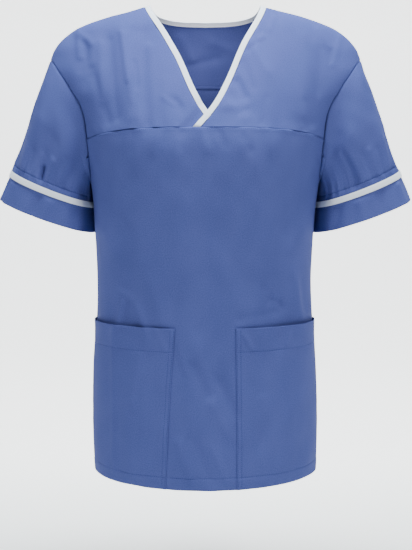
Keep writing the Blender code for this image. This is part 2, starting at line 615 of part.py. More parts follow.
def make_sleeve(side_name, collection):
    """A sleeve from armhole to band seam, its band, and the white tape over the seam between them."""
    side = SIDES[side_name]
    front, back = sleeve_columns()
    front_turn, front_drop = armhole(front, "front")
    back_turn, back_drop = armhole(back, "back")
    angle = np.concatenate([front, -back[-2:0:-1]])
    edge_turn = mirrored(np.concatenate([front_turn, back_turn[-2:0:-1]]), side)
    edge_drop = np.concatenate([front_drop, back_drop[-2:0:-1]])
    clear_of_body = ARMPIT_GAP * (1 - np.cos(angle)) / 2
    edge = body_skin(edge_turn, edge_drop, clear_of_body)
    low = sleeve_ring(TAPE_TOP, angle, side)
    end = sleeve_ring(SLEEVE_HEM, angle, side)
    reach = np.linalg.norm(low - edge, axis=-1, keepdims=True)
    outwards = np.stack([side * SLEEVE_SPREAD * np.abs(np.sin(angle)),
                         -SLEEVE_BULGE * np.sin(angle), 0 * angle], -1)
    leave = unit(unit(low - edge) + outwards) * reach
    arrive = unit(end - low) * reach
    down = SLEEVE_ROWS[:, None, None]
    loft = ((1 + 2 * down) * (1 - down) ** 2 * edge + down * (1 - down) ** 2 * leave
            + down ** 2 * (3 - 2 * down) * low + down ** 2 * (down - 1) * arrive)
    folds = [(f.turn * SLEEVE_FOLD_RADIUS, f.down * SLEEVE_FOLD_LENGTH, f.to_turn * SLEEVE_FOLD_RADIUS,
              f.to_down * SLEEVE_FOLD_LENGTH, f.half_width, f.rise) for f in SLEEVE_FOLDS[side_name]]
    rise = fold_rise(folds, angle[None, :] * SLEEVE_FOLD_RADIUS + 0 * down[..., 0],
                     down[..., 0] * SLEEVE_FOLD_LENGTH + 0 * angle[None, :])
    share = down[..., 0]
    rise = rise * smooth_step(share / SLEEVE_FOLD_START) * smooth_step((1 - share) / SLEEVE_FOLD_END)
    loft = loft + rise[..., None] * outward_normals(loft, side)
    seam = sleeve_ring(BAND_SEAM, angle, side)
    sleeve = np.concatenate([loft, seam[None]])
    under_tape = sleeve_ring(TAPE_BOTTOM, angle, side)
    band = np.stack([seam, under_tape, (under_tape + end) / 2, end])
    order = slice(None, None, 1 if side < 0 else -1)
    tape = np.stack([loft[-1], seam, under_tape])
    tape = tape + (SEAM_GAP + CLOTH) * outward_normals(tape, side)
    sleeve = drawn_back(sleeve, ("top", "bottom"))[:, order]
    band = drawn_back(band, ("top",))[:, order]
    sewn_piece("sleeve_" + side_name, sleeve, collection, closed=True)
    sewn_piece("cuff_" + side_name, band, collection, closed=True)
    sewn_piece("cuff_tape_" + side_name, tape[:, order], collection, closed=True, colour=WHITE)


def outward_normals(tube, side):
    """The way a tube of rings faces, outwards. Its columns run round from the top by the front."""
    around = np.roll(tube, -1, axis=1) - np.roll(tube, 1, axis=1)
    along = np.gradient(tube, axis=0)
    return unit(np.cross(along, around)) * -side


def make_binding(name, turn, drop, lift, neckwards, collection, cut_level=False):
    """White binding beside a neck edge: a crowned strip of even width, towards the neck.

    neckwards is +1 or -1 as the neck lies to one side or the other of the line's own direction. The last
    end is cut square, or level with the yoke seam.
    """
    edge = body_skin(turn, drop, lift)
    along = unit(np.gradient(edge, axis=0))
    facing = body_normal(turn, drop)
    inwards = unit(np.cross(facing, along)) * neckwards
    if cut_level:
        level = unit(body_form(turn[-1] - NORMAL_STEP, drop[-1]) - body_form(turn[-1], drop[-1]))
        inwards[-1] = level / (level @ inwards[-1])
    grid = np.stack([edge + inwards * BINDING_WIDTH * point.across + facing * BINDING_CROWN * point.crown
                     for point in BINDING_SECTION])
    if neckwards > 0:
        grid = grid[::-1]
    seam_edge = "bottom" if neckwards > 0 else "top"
    end_draw = RIDGE_DRAW if cut_level else SEAM_DRAW
    grid = drawn_back(drawn_back(grid, (seam_edge, "first")), ("last",), end_draw)
    sewn_piece(name, grid, collection, wall=TRIM, colour=WHITE)


def make_bindings(collection):
    """The binding of the V in two strips, the left one over the right, and the binding of the back neck."""
    turn, drop = neck_line(FRONT_NECK["left"], YOKE_ROWS, front=True)
    drop[-1] = yoke_seam_drop(turn[-1:])[0]
    make_binding("neck_binding_left", turn, drop, 0.0, -1.0, collection, cut_level=True)
    turn, drop = neck_line(FRONT_NECK["right"], YOKE_ROWS, front=True)
    drop[-1] = yoke_seam_drop(turn[-1:])[0]
    dip = lap_dip(body_form(-turn, drop)[..., 0] + BINDING_WIDTH, drop)
    make_binding("neck_binding_right", -turn, drop, dip, 1.0, collection)
    half_turn, half_drop = neck_line(BACK_NECK, BACK_NECK_COLUMNS, front=False)
    turn = np.concatenate([half_turn, 2 * np.pi - half_turn[-2::-1]])
    drop = np.concatenate([half_drop, half_drop[-2::-1]])
    make_binding("neck_binding_back", turn, drop, 0.0, 1.0, collection)


clear_scene()
tunic = bpy.data.collections.new("scrub_tunic")
bpy.context.scene.collection.children.link(tunic)
make_front(tunic)
make_back(tunic)
make_back_yoke(tunic)
make_bindings(tunic)
for each_side in SIDES:
    make_front_yoke(each_side, tunic)
    make_sleeve(each_side, tunic)
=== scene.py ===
"""The looks of a blue scrub tunic with white trim, filled out as if it were worn.

Metres, +Z up, front towards -Y. Right and left are the wearer's, so right is -X. The origin lies between
the neck points, and a drop is a depth below them.
"""

from collections import namedtuple

import bpy
import numpy as np
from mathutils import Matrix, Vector


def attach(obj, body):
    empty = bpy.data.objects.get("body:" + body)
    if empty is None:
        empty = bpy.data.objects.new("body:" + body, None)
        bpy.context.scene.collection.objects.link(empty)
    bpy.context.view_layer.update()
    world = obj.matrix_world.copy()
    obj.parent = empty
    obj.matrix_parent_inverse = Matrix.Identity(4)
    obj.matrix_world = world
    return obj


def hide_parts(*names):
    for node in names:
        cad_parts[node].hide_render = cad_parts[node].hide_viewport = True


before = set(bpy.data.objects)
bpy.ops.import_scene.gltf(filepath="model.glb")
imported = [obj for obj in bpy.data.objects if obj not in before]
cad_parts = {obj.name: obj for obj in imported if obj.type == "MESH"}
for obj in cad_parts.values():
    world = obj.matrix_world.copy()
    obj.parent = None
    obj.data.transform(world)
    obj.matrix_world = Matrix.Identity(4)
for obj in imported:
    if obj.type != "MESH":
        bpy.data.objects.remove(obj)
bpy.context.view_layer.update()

# Lower front
# One panel of plain-woven polyester and cotton from the yoke seam to the hem. It is sewn to the two front
# yokes above and to the back at both sides, and its lower edge is turned up twice and stitched.

# Level sections of the filled-out tunic: half its width, and how deep it is before and behind the shoulder
# line, in millimetres. Squareness 2 is an ellipse.
RING_SIZES = ("drop", "half_width", "front_depth", "back_depth", "middle_x", "squareness")
RINGS = np.array([
    (-5, 78, 21, 44, 0, 2), (0, 92, 28, 52, 0, 2), (8, 121, 36, 62, 0, 2), (17, 155.5, 43, 70, 0, 2),
    (26, 182, 49.5, 76, 0, 2), (35, 202, 54.5, 81, 0, 2.05), (45, 216.8, 59.5, 86, 0, 2.05),
    (63, 234, 68.2, 93, 0, 2.1), (83, 243, 77.5, 99, 0, 2.1), (100, 248, 85.3, 104, 0, 2.1),
    (130, 235, 99, 110, 0, 2.15), (155, 215, 110.5, 115, 0, 2.2), (180, 203, 121.8, 118, 0, 2.2),
    (195, 198.4, 127.8, 119, 0, 2.2), (205, 195.5, 130, 120, 0, 2.2), (240, 187, 132.2, 121, -0.5, 2.2),
    (280, 179, 132.8, 120, -1, 2.2), (350, 173.3, 132, 118, -2, 2.15), (440, 170.3, 130, 116, -2, 2.1),
    (500, 173, 131, 118, -1.5, 2.05), (560, 177.3, 134, 122, -1.5, 2), (620, 179.3, 137, 125, -1, 1.95),
    (700, 179.3, 139, 128, -0.5, 1.9), (745, 177.3, 139, 128, 0, 1.88),
]) / (1000, 1000, 1000, 1000, 1000, 1)
SHOULDER_TIP = 0.083
ARMPIT = 0.272
YOKE_SEAM = 0.1895
YOKE_SEAM_END = 0.205
POCKET_TOP = 0.488
HEM = 0.7335
HEM_DEPTH = 0.0185
HEM_STITCH = HEM - HEM_DEPTH
SIDE_DEPTH = 0.13
ARMHOLE_MIDDLE = (SHOULDER_TIP + ARMPIT) / 2
ARMHOLE_HALF = (ARMPIT - SHOULDER_TIP) / 2
ARMHOLE_FORWARD = 0.058
ARMHOLE_BACKWARD = 0.054
ARMHOLE_FULLNESS = 0.85
WALL = 0.0010
SEAM_DRAW = 0.0002
NORMAL_STEP = 0.0004
BLUE = (0.0620, 0.0790, 0.2520)
BLUE_PALE = (0.0820, 0.1005, 0.3100)
FINE_STEPS = (0.0, 0.0006, 0.0012, 0.0020, 0.0032)
LEAST_STEP = 0.0003

# At the sewing: dips of the cloth as half width and depth, gathers as spacing, height and reach
SEAM_DIP = (0.0016, 0.0005)
SEAM_LIP = (0.0017, -0.0006)
SEAM_LIP_PLACE = 0.0031
SEAM_GATHERS = (0.010, 0.0008, 0.011)
SIDE_DIP = (0.0016, 0.0007)
SIDE_GATHERS = (0.024, 0.0005, 0.012)
HEM_DIP = (0.0012, 0.0005)
HEM_GATHERS = (0.010, 0.00035, 0.007)
HEM_RISE = 0.0004
HEM_RISE_RUN = 0.003


def in_metres(*rows):
    """A table that is written in millimetres, in metres."""
    return np.array(rows) / 1000


# Folds of the filled-out cloth, and finer creases on them, in millimetres: from x and drop to x and drop on
# the front, half the width, and the rise, which is under 0 for a trough
FRONT_FOLDS = in_metres(
    (-75, 232, 110, 232, 42, 2.6), (-128, 45, -108, 172, 14, 2.4), (-150, 60, -134, 170, 14, -1.7),
    (-96, 46, -86, 184, 12, -2), (-192, 55, -184, 115, 16, -2.2), (60, 50, 92, 110, 17, 2),
    (44, 110, 60, 160, 17, -1.8), (198, 62, 176, 130, 17, -2.2), (146, 55, 136, 160, 18, 1.8),
    (-90, 395, -66, 478, 18, 2.8), (-122, 420, -112, 490, 17, -2.4), (98, 420, 112, 490, 18, -2.6),
    (132, 400, 142, 478, 17, 2.4), (-18, 520, -30, 700, 24, 2.4), (28, 560, 34, 650, 20, -2),
    (-100, 560, -106, 700, 20, 2.2), (80, 530, 86, 660, 18, -2), (118, 540, 122, 700, 20, 2.2),
    (-60, 230, -80, 360, 28, 2.2), (70, 225, 95, 370, 28, 2.2), (-118, 250, -124, 350, 18, -1.8),
)
FRONT_CREASES = in_metres(
    (-128, 452, -137, 500, 2.8, 2.6), (-118, 455, -126, 500, 5, -1.9), (-102, 462, -88, 500, 6, 1.9),
    (90, 430, 96, 452, 6, -2.3), (134, 412, 146, 474, 7.5, 1.8), (146, 424, 154, 470, 6, -1.1),
    (50, 474, 110, 466, 6, -1.1), (-20, 545, 4, 590, 9, -1.9), (20, 565, 46, 620, 8, -2),
    (10, 600, 38, 655, 9, 2), (-40, 660, -22, 716, 6, 2.3), (-18, 655, 8, 716, 8, -2),
    (12, 670, 30, 716, 6, 1.9), (-50, 520, -34, 560, 7, -1.6), (20, 340, 60, 420, 20, -2.7),
    (-30, 300, -50, 420, 22, 2.7), (-150, 300, -120, 340, 12, -2.3), (150, 290, 118, 345, 12, -2.3),
    (158, 330, 130, 372, 11, 1.9), (-156, 345, -136, 380, 10, 1.9), (-128, 438, -110, 446, 5, 1.4),
    (99, 441, 103, 449, 4, -2.2), (112, 451, 117, 460, 4, -1.9), (58, 206, 64, 224, 6, -1.6),
    (-68, 200, -74, 228, 7, 1.6), (-6, 196, 2, 222, 7, 1.6), (20, 197, 28, 216, 6, -1.6),
    (-34, 197, -36, 220, 6, -1.4), (96, 198, 100, 226, 8, 1.4), (-108, 199, -112, 222, 8, -1.4),
)
FOLD_FADE = 0.30
FRONT_RUMPLE = {"seed": 11, "height": 0.0009}
BACK_RUMPLE = {"seed": 23, "height": 0.0011}
PANEL_SEED = {"front": 31, "back": 47}
ALLOWANCE = 0.005
ALLOWANCE_SINK = 0.0013
ALLOWANCE_STEPS = ((0.0012, 1.0), (0.0003, 0.6))


def curve_through(at, places, values):
    """Smooth curve through the values, with each slope taken from the neighbours."""
    places = np.asarray(places, float)
    values = np.asarray(values, float)
    slopes = np.gradient(values, places)
    i = np.clip(np.searchsorted(places, at) - 1, 0, len(places) - 2)
    span = places[i + 1] - places[i]
    t = (at - places[i]) / span
    from_start = (1 + 2 * t) * (1 - t) ** 2 * values[i] + t * (1 - t) ** 2 * span * slopes[i]
    to_end = t * t * (3 - 2 * t) * values[i + 1] + t * t * (t - 1) * span * slopes[i + 1]
    return from_start + to_end


def ring_size(name, drop):
    """A named size of the tunic's section at this drop."""
    return curve_through(drop, RINGS[:, 0], RINGS[:, RING_SIZES.index(name)])


def smooth_step(t):
    """Ease from 0 to 1."""
    t = np.clip(t, 0.0, 1.0)
    return t * t * (3 - 2 * t)


def unit(vectors):
    """The vectors at length one."""
    return vectors / np.linalg.norm(vectors, axis=-1, keepdims=True)


def body_form(turn, drop):
    """The smooth body: at each drop a squarish oval, |x / width|^n + |y / depth|^n = 1, at this angle."""
    n = ring_size("squareness", drop)
    reach = (np.abs(np.sin(turn)) ** n + np.abs(np.cos(turn)) ** n) ** (-1 / n)
    depth = np.where(np.cos(turn) > 0, ring_size("front_depth", drop), ring_size("back_depth", drop))
    x = ring_size("middle_x", drop) + ring_size("half_width", drop) * reach * np.sin(turn)
    return np.stack([x, -depth * reach * np.cos(turn), -drop + 0 * turn], -1)


def body_normal(turn, drop):
    """The way the smooth body faces, outwards."""
    across = body_form(turn + NORMAL_STEP, drop) - body_form(turn - NORMAL_STEP, drop)
    down = body_form(turn, drop + NORMAL_STEP) - body_form(turn, drop - NORMAL_STEP)
    return unit(np.cross(down, across))


def fold_rise(folds, across, down):
    """Sum of folds, each rise * exp(-(distance to its line / half width) squared)."""
    rise = np.zeros(np.shape(across))
    for start_x, start_down, end_x, end_down, half_width, height in folds:
        run_x, run_down = end_x - start_x, end_down - start_down
        along = (across - start_x) * run_x + (down - start_down) * run_down
        along = np.clip(along / (run_x ** 2 + run_down ** 2), 0.0, 1.0)
        away = np.hypot(across - start_x - along * run_x, down - start_down - along * run_down)
        rise += height * np.exp(-(away / half_width) ** 2)
    return rise


def rumple(across, down, seed, height):
    """Slight unevenness of worn cloth: a sum of long, mostly upright sine waves of random phase."""
    chance = np.random.default_rng(seed)
    rise = np.zeros(np.shape(across))
    for count in range(9):
        length = chance.uniform(0.030, 0.085)
        lean = chance.normal(0.0, 0.45)
        phase = chance.uniform(0.0, 2 * np.pi)
        sway = chance.uniform(0.010, 0.030) * np.sin(down * chance.uniform(12.0, 30.0) + phase)
        wave = np.sin(2 * np.pi * ((across + sway) * np.cos(lean) + down * np.sin(lean)) / length + phase)
        rise += wave * height * chance.uniform(0.3, 1.0)
    return rise / 3


def puckers(run, away, seed, spacing, height, reach):
    """Small gathers along a line of sewing: bumps at uneven places along it that die out beside it."""
    chance = np.random.default_rng(seed)
    low, high = float(np.min(run)), float(np.max(run))
    count = max(2, int((high - low) / spacing))
    centres = low + (np.arange(count) + chance.uniform(0.1, 0.9, count)) * (high - low) / count
    widths = spacing * chance.uniform(0.22, 0.45, count)
    heights = chance.choice([-1.0, 1.0], count) * chance.uniform(0.25, 1.0, count) ** 2
    reaches = reach * chance.uniform(0.4, 1.3, count)
    rise = np.zeros(np.shape(run))
    for centre, width, bump, dies in zip(centres, widths, heights, reaches):
        rise += bump * np.exp(-((run - centre) / width) ** 2 - np.abs(away) / dies)
    return rise * height


def groove(away, half_width, depth):
    """The dip of the cloth at a seam or a line of stitches, or a lip where the depth is under 0."""
    return -depth * np.exp(-(away / half_width) ** 2)


def by_face(turn, front, back):
    """What lies on the front or on the back, fading towards the side seams."""
    facing = np.cos(turn)
    return np.where(facing > 0, front, back) * smooth_step(np.abs(facing) / FOLD_FADE)


def body_skin(turn, drop, lift=0.0):
    """The outside of the cloth: the smooth body with its folds and a further lift."""
    place = body_form(turn, drop)
    x, down = place[..., 0], -place[..., 2]
    rise = by_face(turn, fold_rise(FRONT_FOLDS, x, down), fold_rise(BACK_FOLDS, x, down)) + lift
    return place + body_normal(turn, drop) * rise[..., None]


def creases(turn, drop):
    """Fine creases and unevenness of the front and back."""
    place = body_form(turn, drop)
    x, down = place[..., 0], -place[..., 2]
    front = fold_rise(FRONT_CREASES, x, down) + rumple(x, down, **FRONT_RUMPLE)
    back = fold_rise(BACK_CREASES, x, down) + rumple(x, down, **BACK_RUMPLE)
    return by_face(turn, front, back)


def turn_at_depth(depth_share, drop):
    """The turn on the wearer's left front at this share of the front depth."""
    n = ring_size("squareness", drop)
    return np.arctan2((1 - depth_share ** n) ** (1 / n), depth_share)


def armhole(angle, face):
    """Turn and drop of the left armhole, from its top (angle 0) to the armpit (pi)."""
    drop = ARMHOLE_MIDDLE - ARMHOLE_HALF * np.cos(angle)
    swell = np.sin(np.clip(angle, 0, np.pi)) ** ARMHOLE_FULLNESS
    if face == "front":
        return turn_at_depth(ARMHOLE_FORWARD * swell / ring_size("front_depth", drop), drop), drop
    return np.pi - turn_at_depth(ARMHOLE_BACKWARD * swell / ring_size("back_depth", drop), drop), drop


def armhole_angle(drop):
    """The armhole angle at this drop."""
    return np.arccos(np.clip((ARMHOLE_MIDDLE - drop) / ARMHOLE_HALF, -1, 1))


def width_share(turn, drop):
    """The share of the half width that the section reaches at this turn."""
    n = ring_size("squareness", drop)
    across, along = np.abs(np.sin(turn)), np.abs(np.cos(turn))
    return across / (across ** n + along ** n) ** (1 / n)


def arched_seam(turn, middle_drop, end_drop, end_turn):
    """A seam across the body, level in the middle, that drops by the fourth power of its share of width."""
    share = width_share(turn, middle_drop) / width_share(end_turn, middle_drop)
    return middle_drop + (end_drop - middle_drop) * share ** 4


FRONT_SPLIT = armhole_angle(YOKE_SEAM_END)


def yoke_seam_drop(turn):
    """The front yoke seam."""
    return arched_seam(turn, YOKE_SEAM, YOKE_SEAM_END, armhole(FRONT_SPLIT, "front")[0])


def places_between(start, end, spacing, fine_at=()):
    """Even places from start to end, with closer ones beside each line that needs detail."""
    even = np.linspace(start, end, max(2, int(np.ceil(abs(end - start) / spacing)) + 1))
    near = [line + sign * step for line in fine_at for step in FINE_STEPS for sign in (-1, 1)]
    places = np.concatenate([even, near])
    places = np.unique(np.round(places[(places >= start - 1e-9) & (places <= end + 1e-9)], 7))
    apart = np.concatenate([[True], np.diff(places) > LEAST_STEP])
    apart[-1] = True
    if not apart[:-1].all() and places[-1] - places[apart][-2] < LEAST_STEP:
        apart[np.nonzero(apart)[0][-2]] = False
    return places[apart]


def run_lengths(grid, axis):
    """Distance run along the rows or columns of a grid of points."""
    legs = np.linalg.norm(np.diff(grid, axis=axis), axis=-1)
    pad = [(0, 0), (0, 0)]
    pad[axis] = (1, 0)
    return np.cumsum(np.pad(legs, pad), axis=axis)


def add_piece(name, points, faces, flat, material):
    """A mesh in the scene, with its flat map in metres: one place for each corner of each face."""
    mesh = bpy.data.meshes.new(name)
    mesh.from_pydata(points.tolist(), [], faces.tolist())
    layer = mesh.uv_layers.new(name="cloth_metres")
    layer.data.foreach_set("uv", flat.reshape(-1).astype(np.float32))
    mesh.materials.append(material)
    piece = bpy.data.objects.new(name, mesh)
    bpy.context.scene.collection.objects.link(piece)
    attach(piece, "root")
    return piece


def cell_corners(index):
    """The four corners of each cell of a grid of numbers."""
    return np.stack([index[:-1, :-1], index[1:, :-1], index[1:, 1:], index[:-1, 1:]], -1).reshape(-1, 4)


def cloth_piece(name, grid, slot, solid, closed=False, wall=WALL):
    """A sheet of quads over a grid whose rows run down, with its wall inside, in place of one solid."""
    if closed:
        grid = np.concatenate([grid, grid[:, :1]], axis=1)
    across, down = run_lengths(grid, 1), run_lengths(grid, 0)
    index = np.arange(across.size).reshape(across.shape)
    corners = cell_corners(index)
    flat = np.stack([across - across[:, -1:] / 2, down], -1).reshape(-1, 2)[corners]
    if closed:
        index[:, -1] = index[:, 0]
    kept, faces = np.unique(cell_corners(index), return_inverse=True)
    piece = add_piece(name, grid.reshape(-1, 3)[kept], faces.reshape(-1, 4), flat, CLOTH[slot])
    piece.data.shade_smooth()
    shell = piece.modifiers.new("wall", "SOLIDIFY")
    shell.thickness = wall
    shell.offset = -1.0
    shell.use_even_offset = False
    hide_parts(solid)


def turned(grid, edge):
    """The grid turned so that the named edge comes first. Rows run down, columns across."""
    grid = grid if edge in ("top", "bottom") else grid.swapaxes(0, 1)
    return grid if edge in ("top", "first") else grid[::-1]


def turned_back(grid, edge):
    """The grid as it was before it was turned."""
    grid = grid if edge in ("top", "first") else grid[::-1]
    return grid if edge in ("top", "bottom") else grid.swapaxes(0, 1)


def drawn_back(grid, edges, gap=SEAM_DRAW):
    """The grid with the named edges moved in from their seams."""
    grid = grid.copy()
    for edge in edges:
        rows = turned(grid, edge)
        rows[0] += unit(rows[1] - rows[0]) * gap
    return grid


def with_allowances(grid, edges, depth=ALLOWANCE, under=ALLOWANCE_SINK):
    """The grid with a seam allowance past each named edge, tucked under the wall of the next piece."""
    for edge in edges:
        facing = unit(np.cross(np.gradient(grid, axis=0), np.gradient(grid, axis=1)))
        rows, facing = turned(grid, edge), turned(facing, edge)[0]
        onwards = unit(rows[0] - rows[1])
        sink = np.broadcast_to(under, len(rows[0]))[:, None]
        tucked = [rows[0] + onwards * out - facing * sink * share
                  for out, share in ((depth, 1.0), *ALLOWANCE_STEPS)]
        grid = turned_back(np.concatenate([np.stack(tucked), rows]), edge)
    return grid


def set_inputs(tree, node, values):
    """Set a node's inputs to numbers, or join them to the sockets of other nodes."""
    for name, value in values.items():
        if hasattr(value, "links"):
            tree.links.new(value, node.inputs[name])
        else:
            node.inputs[name].default_value = value


def new_node(tree, kind, values=()):
    """A new shader node with these inputs."""
    node = tree.nodes.new("ShaderNode" + kind)
    set_inputs(tree, node, dict(values))
    return node


def math_node(tree, operation, *values):
    """A Math node on one or two sockets or numbers; gives its output."""
    node = new_node(tree, "Math", enumerate(values))
    node.operation = operation
    return node.outputs[0]


WARP_STRETCH = (1.6, 1.6, 1.0)
DYE_NOISE = {"Scale": 14.0, "Detail": 4.0}
SLUB_NOISE = {"Scale": 620.0, "Detail": 1.0}
SLUB_WEIGHT = 2.2


def weave_group():
    """Plain weave and the uneven take-up of dye.

    Height is sin(u) * sin(v) over the thread spacing, so that threads pass over and under each other. Tone
    mixes the two colours by soft noise and by fine noise for the slubs.
    """
    tree = bpy.data.node_groups.new("woven_cloth", "ShaderNodeTree")
    for label, kind in (("Map", "Vector"), ("Place", "Vector"), ("Colour", "Color"),
                        ("Pale colour", "Color"), ("Threads per metre", "Float"), ("Unevenness", "Float")):
        tree.interface.new_socket(name=label, in_out="INPUT", socket_type="NodeSocket" + kind)
    for label, kind in (("Tone", "Color"), ("Height", "Float")):
        tree.interface.new_socket(name=label, in_out="OUTPUT", socket_type="NodeSocket" + kind)
    given = tree.nodes.new("NodeGroupInput").outputs
    split = new_node(tree, "SeparateXYZ", {0: given["Map"]})
    waves = []
    for axis in (0, 1):
        turns = math_node(tree, "MULTIPLY", split.outputs[axis], given["Threads per metre"])
        waves.append(math_node(tree, "SINE", math_node(tree, "MULTIPLY", turns, np.pi)))
    stretched = new_node(tree, "Mapping", {"Vector": given["Place"], "Scale": WARP_STRETCH})
    dye = new_node(tree, "TexNoise", {"Vector": stretched.outputs[0], **DYE_NOISE})
    slub = new_node(tree, "TexNoise", {"Vector": given["Map"], **SLUB_NOISE})
    spread = math_node(tree, "SUBTRACT", dye.outputs["Fac"], 0.5)
    fine = math_node(tree, "MULTIPLY", math_node(tree, "SUBTRACT", slub.outputs["Fac"], 0.5), SLUB_WEIGHT)
    uneven = math_node(tree, "MULTIPLY", math_node(tree, "ADD", spread, fine), given["Unevenness"])
    share = math_node(tree, "ADD", uneven, 0.5)
    mix = new_node(tree, "Mix")
    mix.data_type = "RGBA"
    set_inputs(tree, mix, {"Factor": share, 6: given["Colour"], 7: given["Pale colour"]})
    end = tree.nodes.new("NodeGroupOutput")
    set_inputs(tree, end, {"Tone": mix.outputs[2], "Height": math_node(tree, "MULTIPLY", *waves)})
    return tree


WEAVE = weave_group()
CLOTH_SHINE = 0.02
SHEEN_ROUGHNESS = 0.45
THREAD_RELIEF = 0.0001


def cloth_material(name, colour, pale, threads, roughness, sheen=0.0, sheen_tint=(1.0, 1.0, 1.0),
                   unevenness=1.2, bump=0.25):
    """Woven cloth: the weave group drives its colour and bump, and sheen stands for short surface fibres."""
    material = bpy.data.materials.new(name)
    material.use_nodes = True
    tree = material.node_tree
    cloth_map = new_node(tree, "UVMap")
    cloth_map.uv_map = "cloth_metres"
    place = new_node(tree, "TexCoord").outputs["Object"]
    weave = new_node(tree, "Group")
    weave.node_tree = WEAVE
    set_inputs(tree, weave, {
        "Map": cloth_map.outputs["UV"], "Place": place, "Colour": (*colour, 1.0),
        "Pale colour": (*pale, 1.0), "Threads per metre": threads, "Unevenness": unevenness})
    relief = new_node(tree, "Bump", {
        "Strength": bump, "Distance": THREAD_RELIEF, "Height": weave.outputs["Height"]})
    set_inputs(tree, tree.nodes["Principled BSDF"], {
        "Base Color": weave.outputs["Tone"], "Normal": relief.outputs["Normal"], "Roughness": roughness,
        "Specular IOR Level": CLOTH_SHINE, "Sheen Weight": sheen, "Sheen Roughness": SHEEN_ROUGHNESS,
        "Sheen Tint": (*sheen_tint, 1.0)})
    return material


CLOTH = {"blue_cloth": cloth_material("blue_poly_cotton", BLUE, BLUE_PALE, 2200.0, 0.70)}

# The chart of the lower panels: columns are shares of the way from the middle to the sides
WIDENING_START = 0.200
WIDENING_RUN = 0.150
EDGE_POWER = 6
ARCH_FADE = 0.230
CHART_WIDTH = 0.255
PANEL_EDGE = np.array([0.0, 0.0025, 0.0055, 0.0100, 0.0170])
PANEL_INSIDE = 0.975
POCKET_COLUMN = {"right": 0.161, "left": 0.172}
POCKET_LEAN = 0.088
HANDS = {"right": -1.0, "left": 1.0}


def lean(columns, drop):
    """How far the lower front turns on the wearer's right, where the pocket edge leans out."""
    edge = POCKET_COLUMN["right"]
    reach = np.where(columns < -edge, 1 - edge, edge)
    from_edge = np.clip(1 - np.abs(columns + edge) / reach, 0, 1)
    fall = np.clip((drop - POCKET_TOP) / (HEM - POCKET_TOP), 0, 1)
    return -POCKET_LEAN * smooth_step(from_edge)[None, :] * fall


def panel_chart(columns, rows, face):
    """Turn and drop over a lower panel. Columns run from -1 to 1 between its edges, rows down its sides."""
    top = rows[0]
    angles = armhole_angle(np.minimum(rows, ARMPIT))
    edge = armhole(angles, face)[0]
    edge = edge if face == "front" else np.pi - edge
    edge = np.where(rows >= ARMPIT, np.pi / 2, edge)
    widening = smooth_step((rows - WIDENING_START) / WIDENING_RUN)
    widened = edge.min() + (np.pi / 2 - edge.min()) * widening
    edgeward = columns[None, :] ** EDGE_POWER
    half_turn = (1 - edgeward) * widened[:, None] + edgeward * edge[:, None]
    turn = (0.0 if face == "front" else np.pi) + columns[None, :] * half_turn
    seam = yoke_seam_drop if face == "front" else back_seam_drop
    fade = (1 - (rows - top) / ARCH_FADE).clip(0, 1) ** 2
    drop = rows[:, None] + fade[:, None] * (seam(turn[0]) - top)[None, :]
    if face == "front":
        turn = turn + lean(columns, drop)
    return turn, drop


def armhole_rows(top, spacing):
    """Drops from a yoke seam's end to the armpit, even along the armhole's oval."""
    angles = np.linspace(armhole_angle(top), np.pi, int((ARMPIT - top) / spacing) + 6)
    return armhole(angles, "front")[1]


def panel_lift(turn, drop, face):
    """What the sewing does to a lower panel: seams dip and pucker, and the turned-up hem stands out."""
    x = body_form(turn, drop)[..., 0]
    below = drop - (yoke_seam_drop(turn) if face == "front" else back_seam_drop(turn))
    seed = PANEL_SEED[face]
    lift = creases(turn, drop)
    lift += groove(below, *SEAM_DIP) + puckers(x, below, seed, *SEAM_GATHERS)
    lift += groove(below - SEAM_LIP_PLACE, *SEAM_LIP)
    beside = np.abs(np.cos(turn)) * SIDE_DEPTH
    lift += (groove(beside, *SIDE_DIP) + puckers(drop, beside, seed + 2, *SIDE_GATHERS)) * (drop > ARMPIT)
    from_stitch = drop - HEM_STITCH
    lift += groove(from_stitch, *HEM_DIP) + HEM_RISE * smooth_step(from_stitch / HEM_RISE_RUN)
    return lift + puckers(x, from_stitch, seed + 4, *HEM_GATHERS)


# Folds and creases of the back, which the picture doesn't show: soft ones of the same kind
BACK_YOKE_SEAM = 0.120
BACK_YOKE_END = 0.126
BACK_FOLDS = in_metres(
    (-130, 45, -124, 96, 16, 2.6), (124, 45, 118, 94, 17, 2.6), (-60, 160, -66, 300, 18, -2.8),
    (52, 165, 60, 290, 18, -2.6), (-120, 200, -100, 330, 18, 2.6), (124, 210, 104, 340, 18, 2.8),
    (-50, 400, -75, 520, 20, 2.8), (60, 390, 84, 530, 20, 2.8), (6, 420, 0, 560, 18, -2.4),
    (-110, 540, -116, 700, 22, -2.4), (112, 560, 118, 700, 22, -2.2), (-20, 580, -14, 710, 20, 2.4),
)
BACK_CREASES = in_metres(
    (-150, 290, -90, 350, 10, 1.4), (148, 300, 96, 352, 11, 1.3), (-40, 380, 30, 404, 10, -1.1),
    (-66, 425, -20, 438, 8, 1), (20, 440, 84, 424, 9, 1.1), (-30, 140, -44, 210, 7, 1),
    (34, 140, 30, 225, 8, -1), (-96, 150, -100, 230, 9, -1), (100, 150, 106, 220, 8, 1.1),
    (-84, 600, -90, 712, 9, 1.1), (40, 600, 46, 712, 10, -1.1), (86, 630, 82, 712, 8, 1),
    (-60, 44, -40, 84, 5, 2), (-40, 38, -22, 74, 6, -2.2), (-30, 82, 20, 72, 7, 1.6),
    (10, 46, 44, 58, 8, -1.4),
)
BACK_SPLIT = armhole_angle(BACK_YOKE_END)


def back_seam_drop(turn):
    """The back yoke seam."""
    return arched_seam(turn, BACK_YOKE_SEAM, BACK_YOKE_END, armhole(BACK_SPLIT, "back")[0])


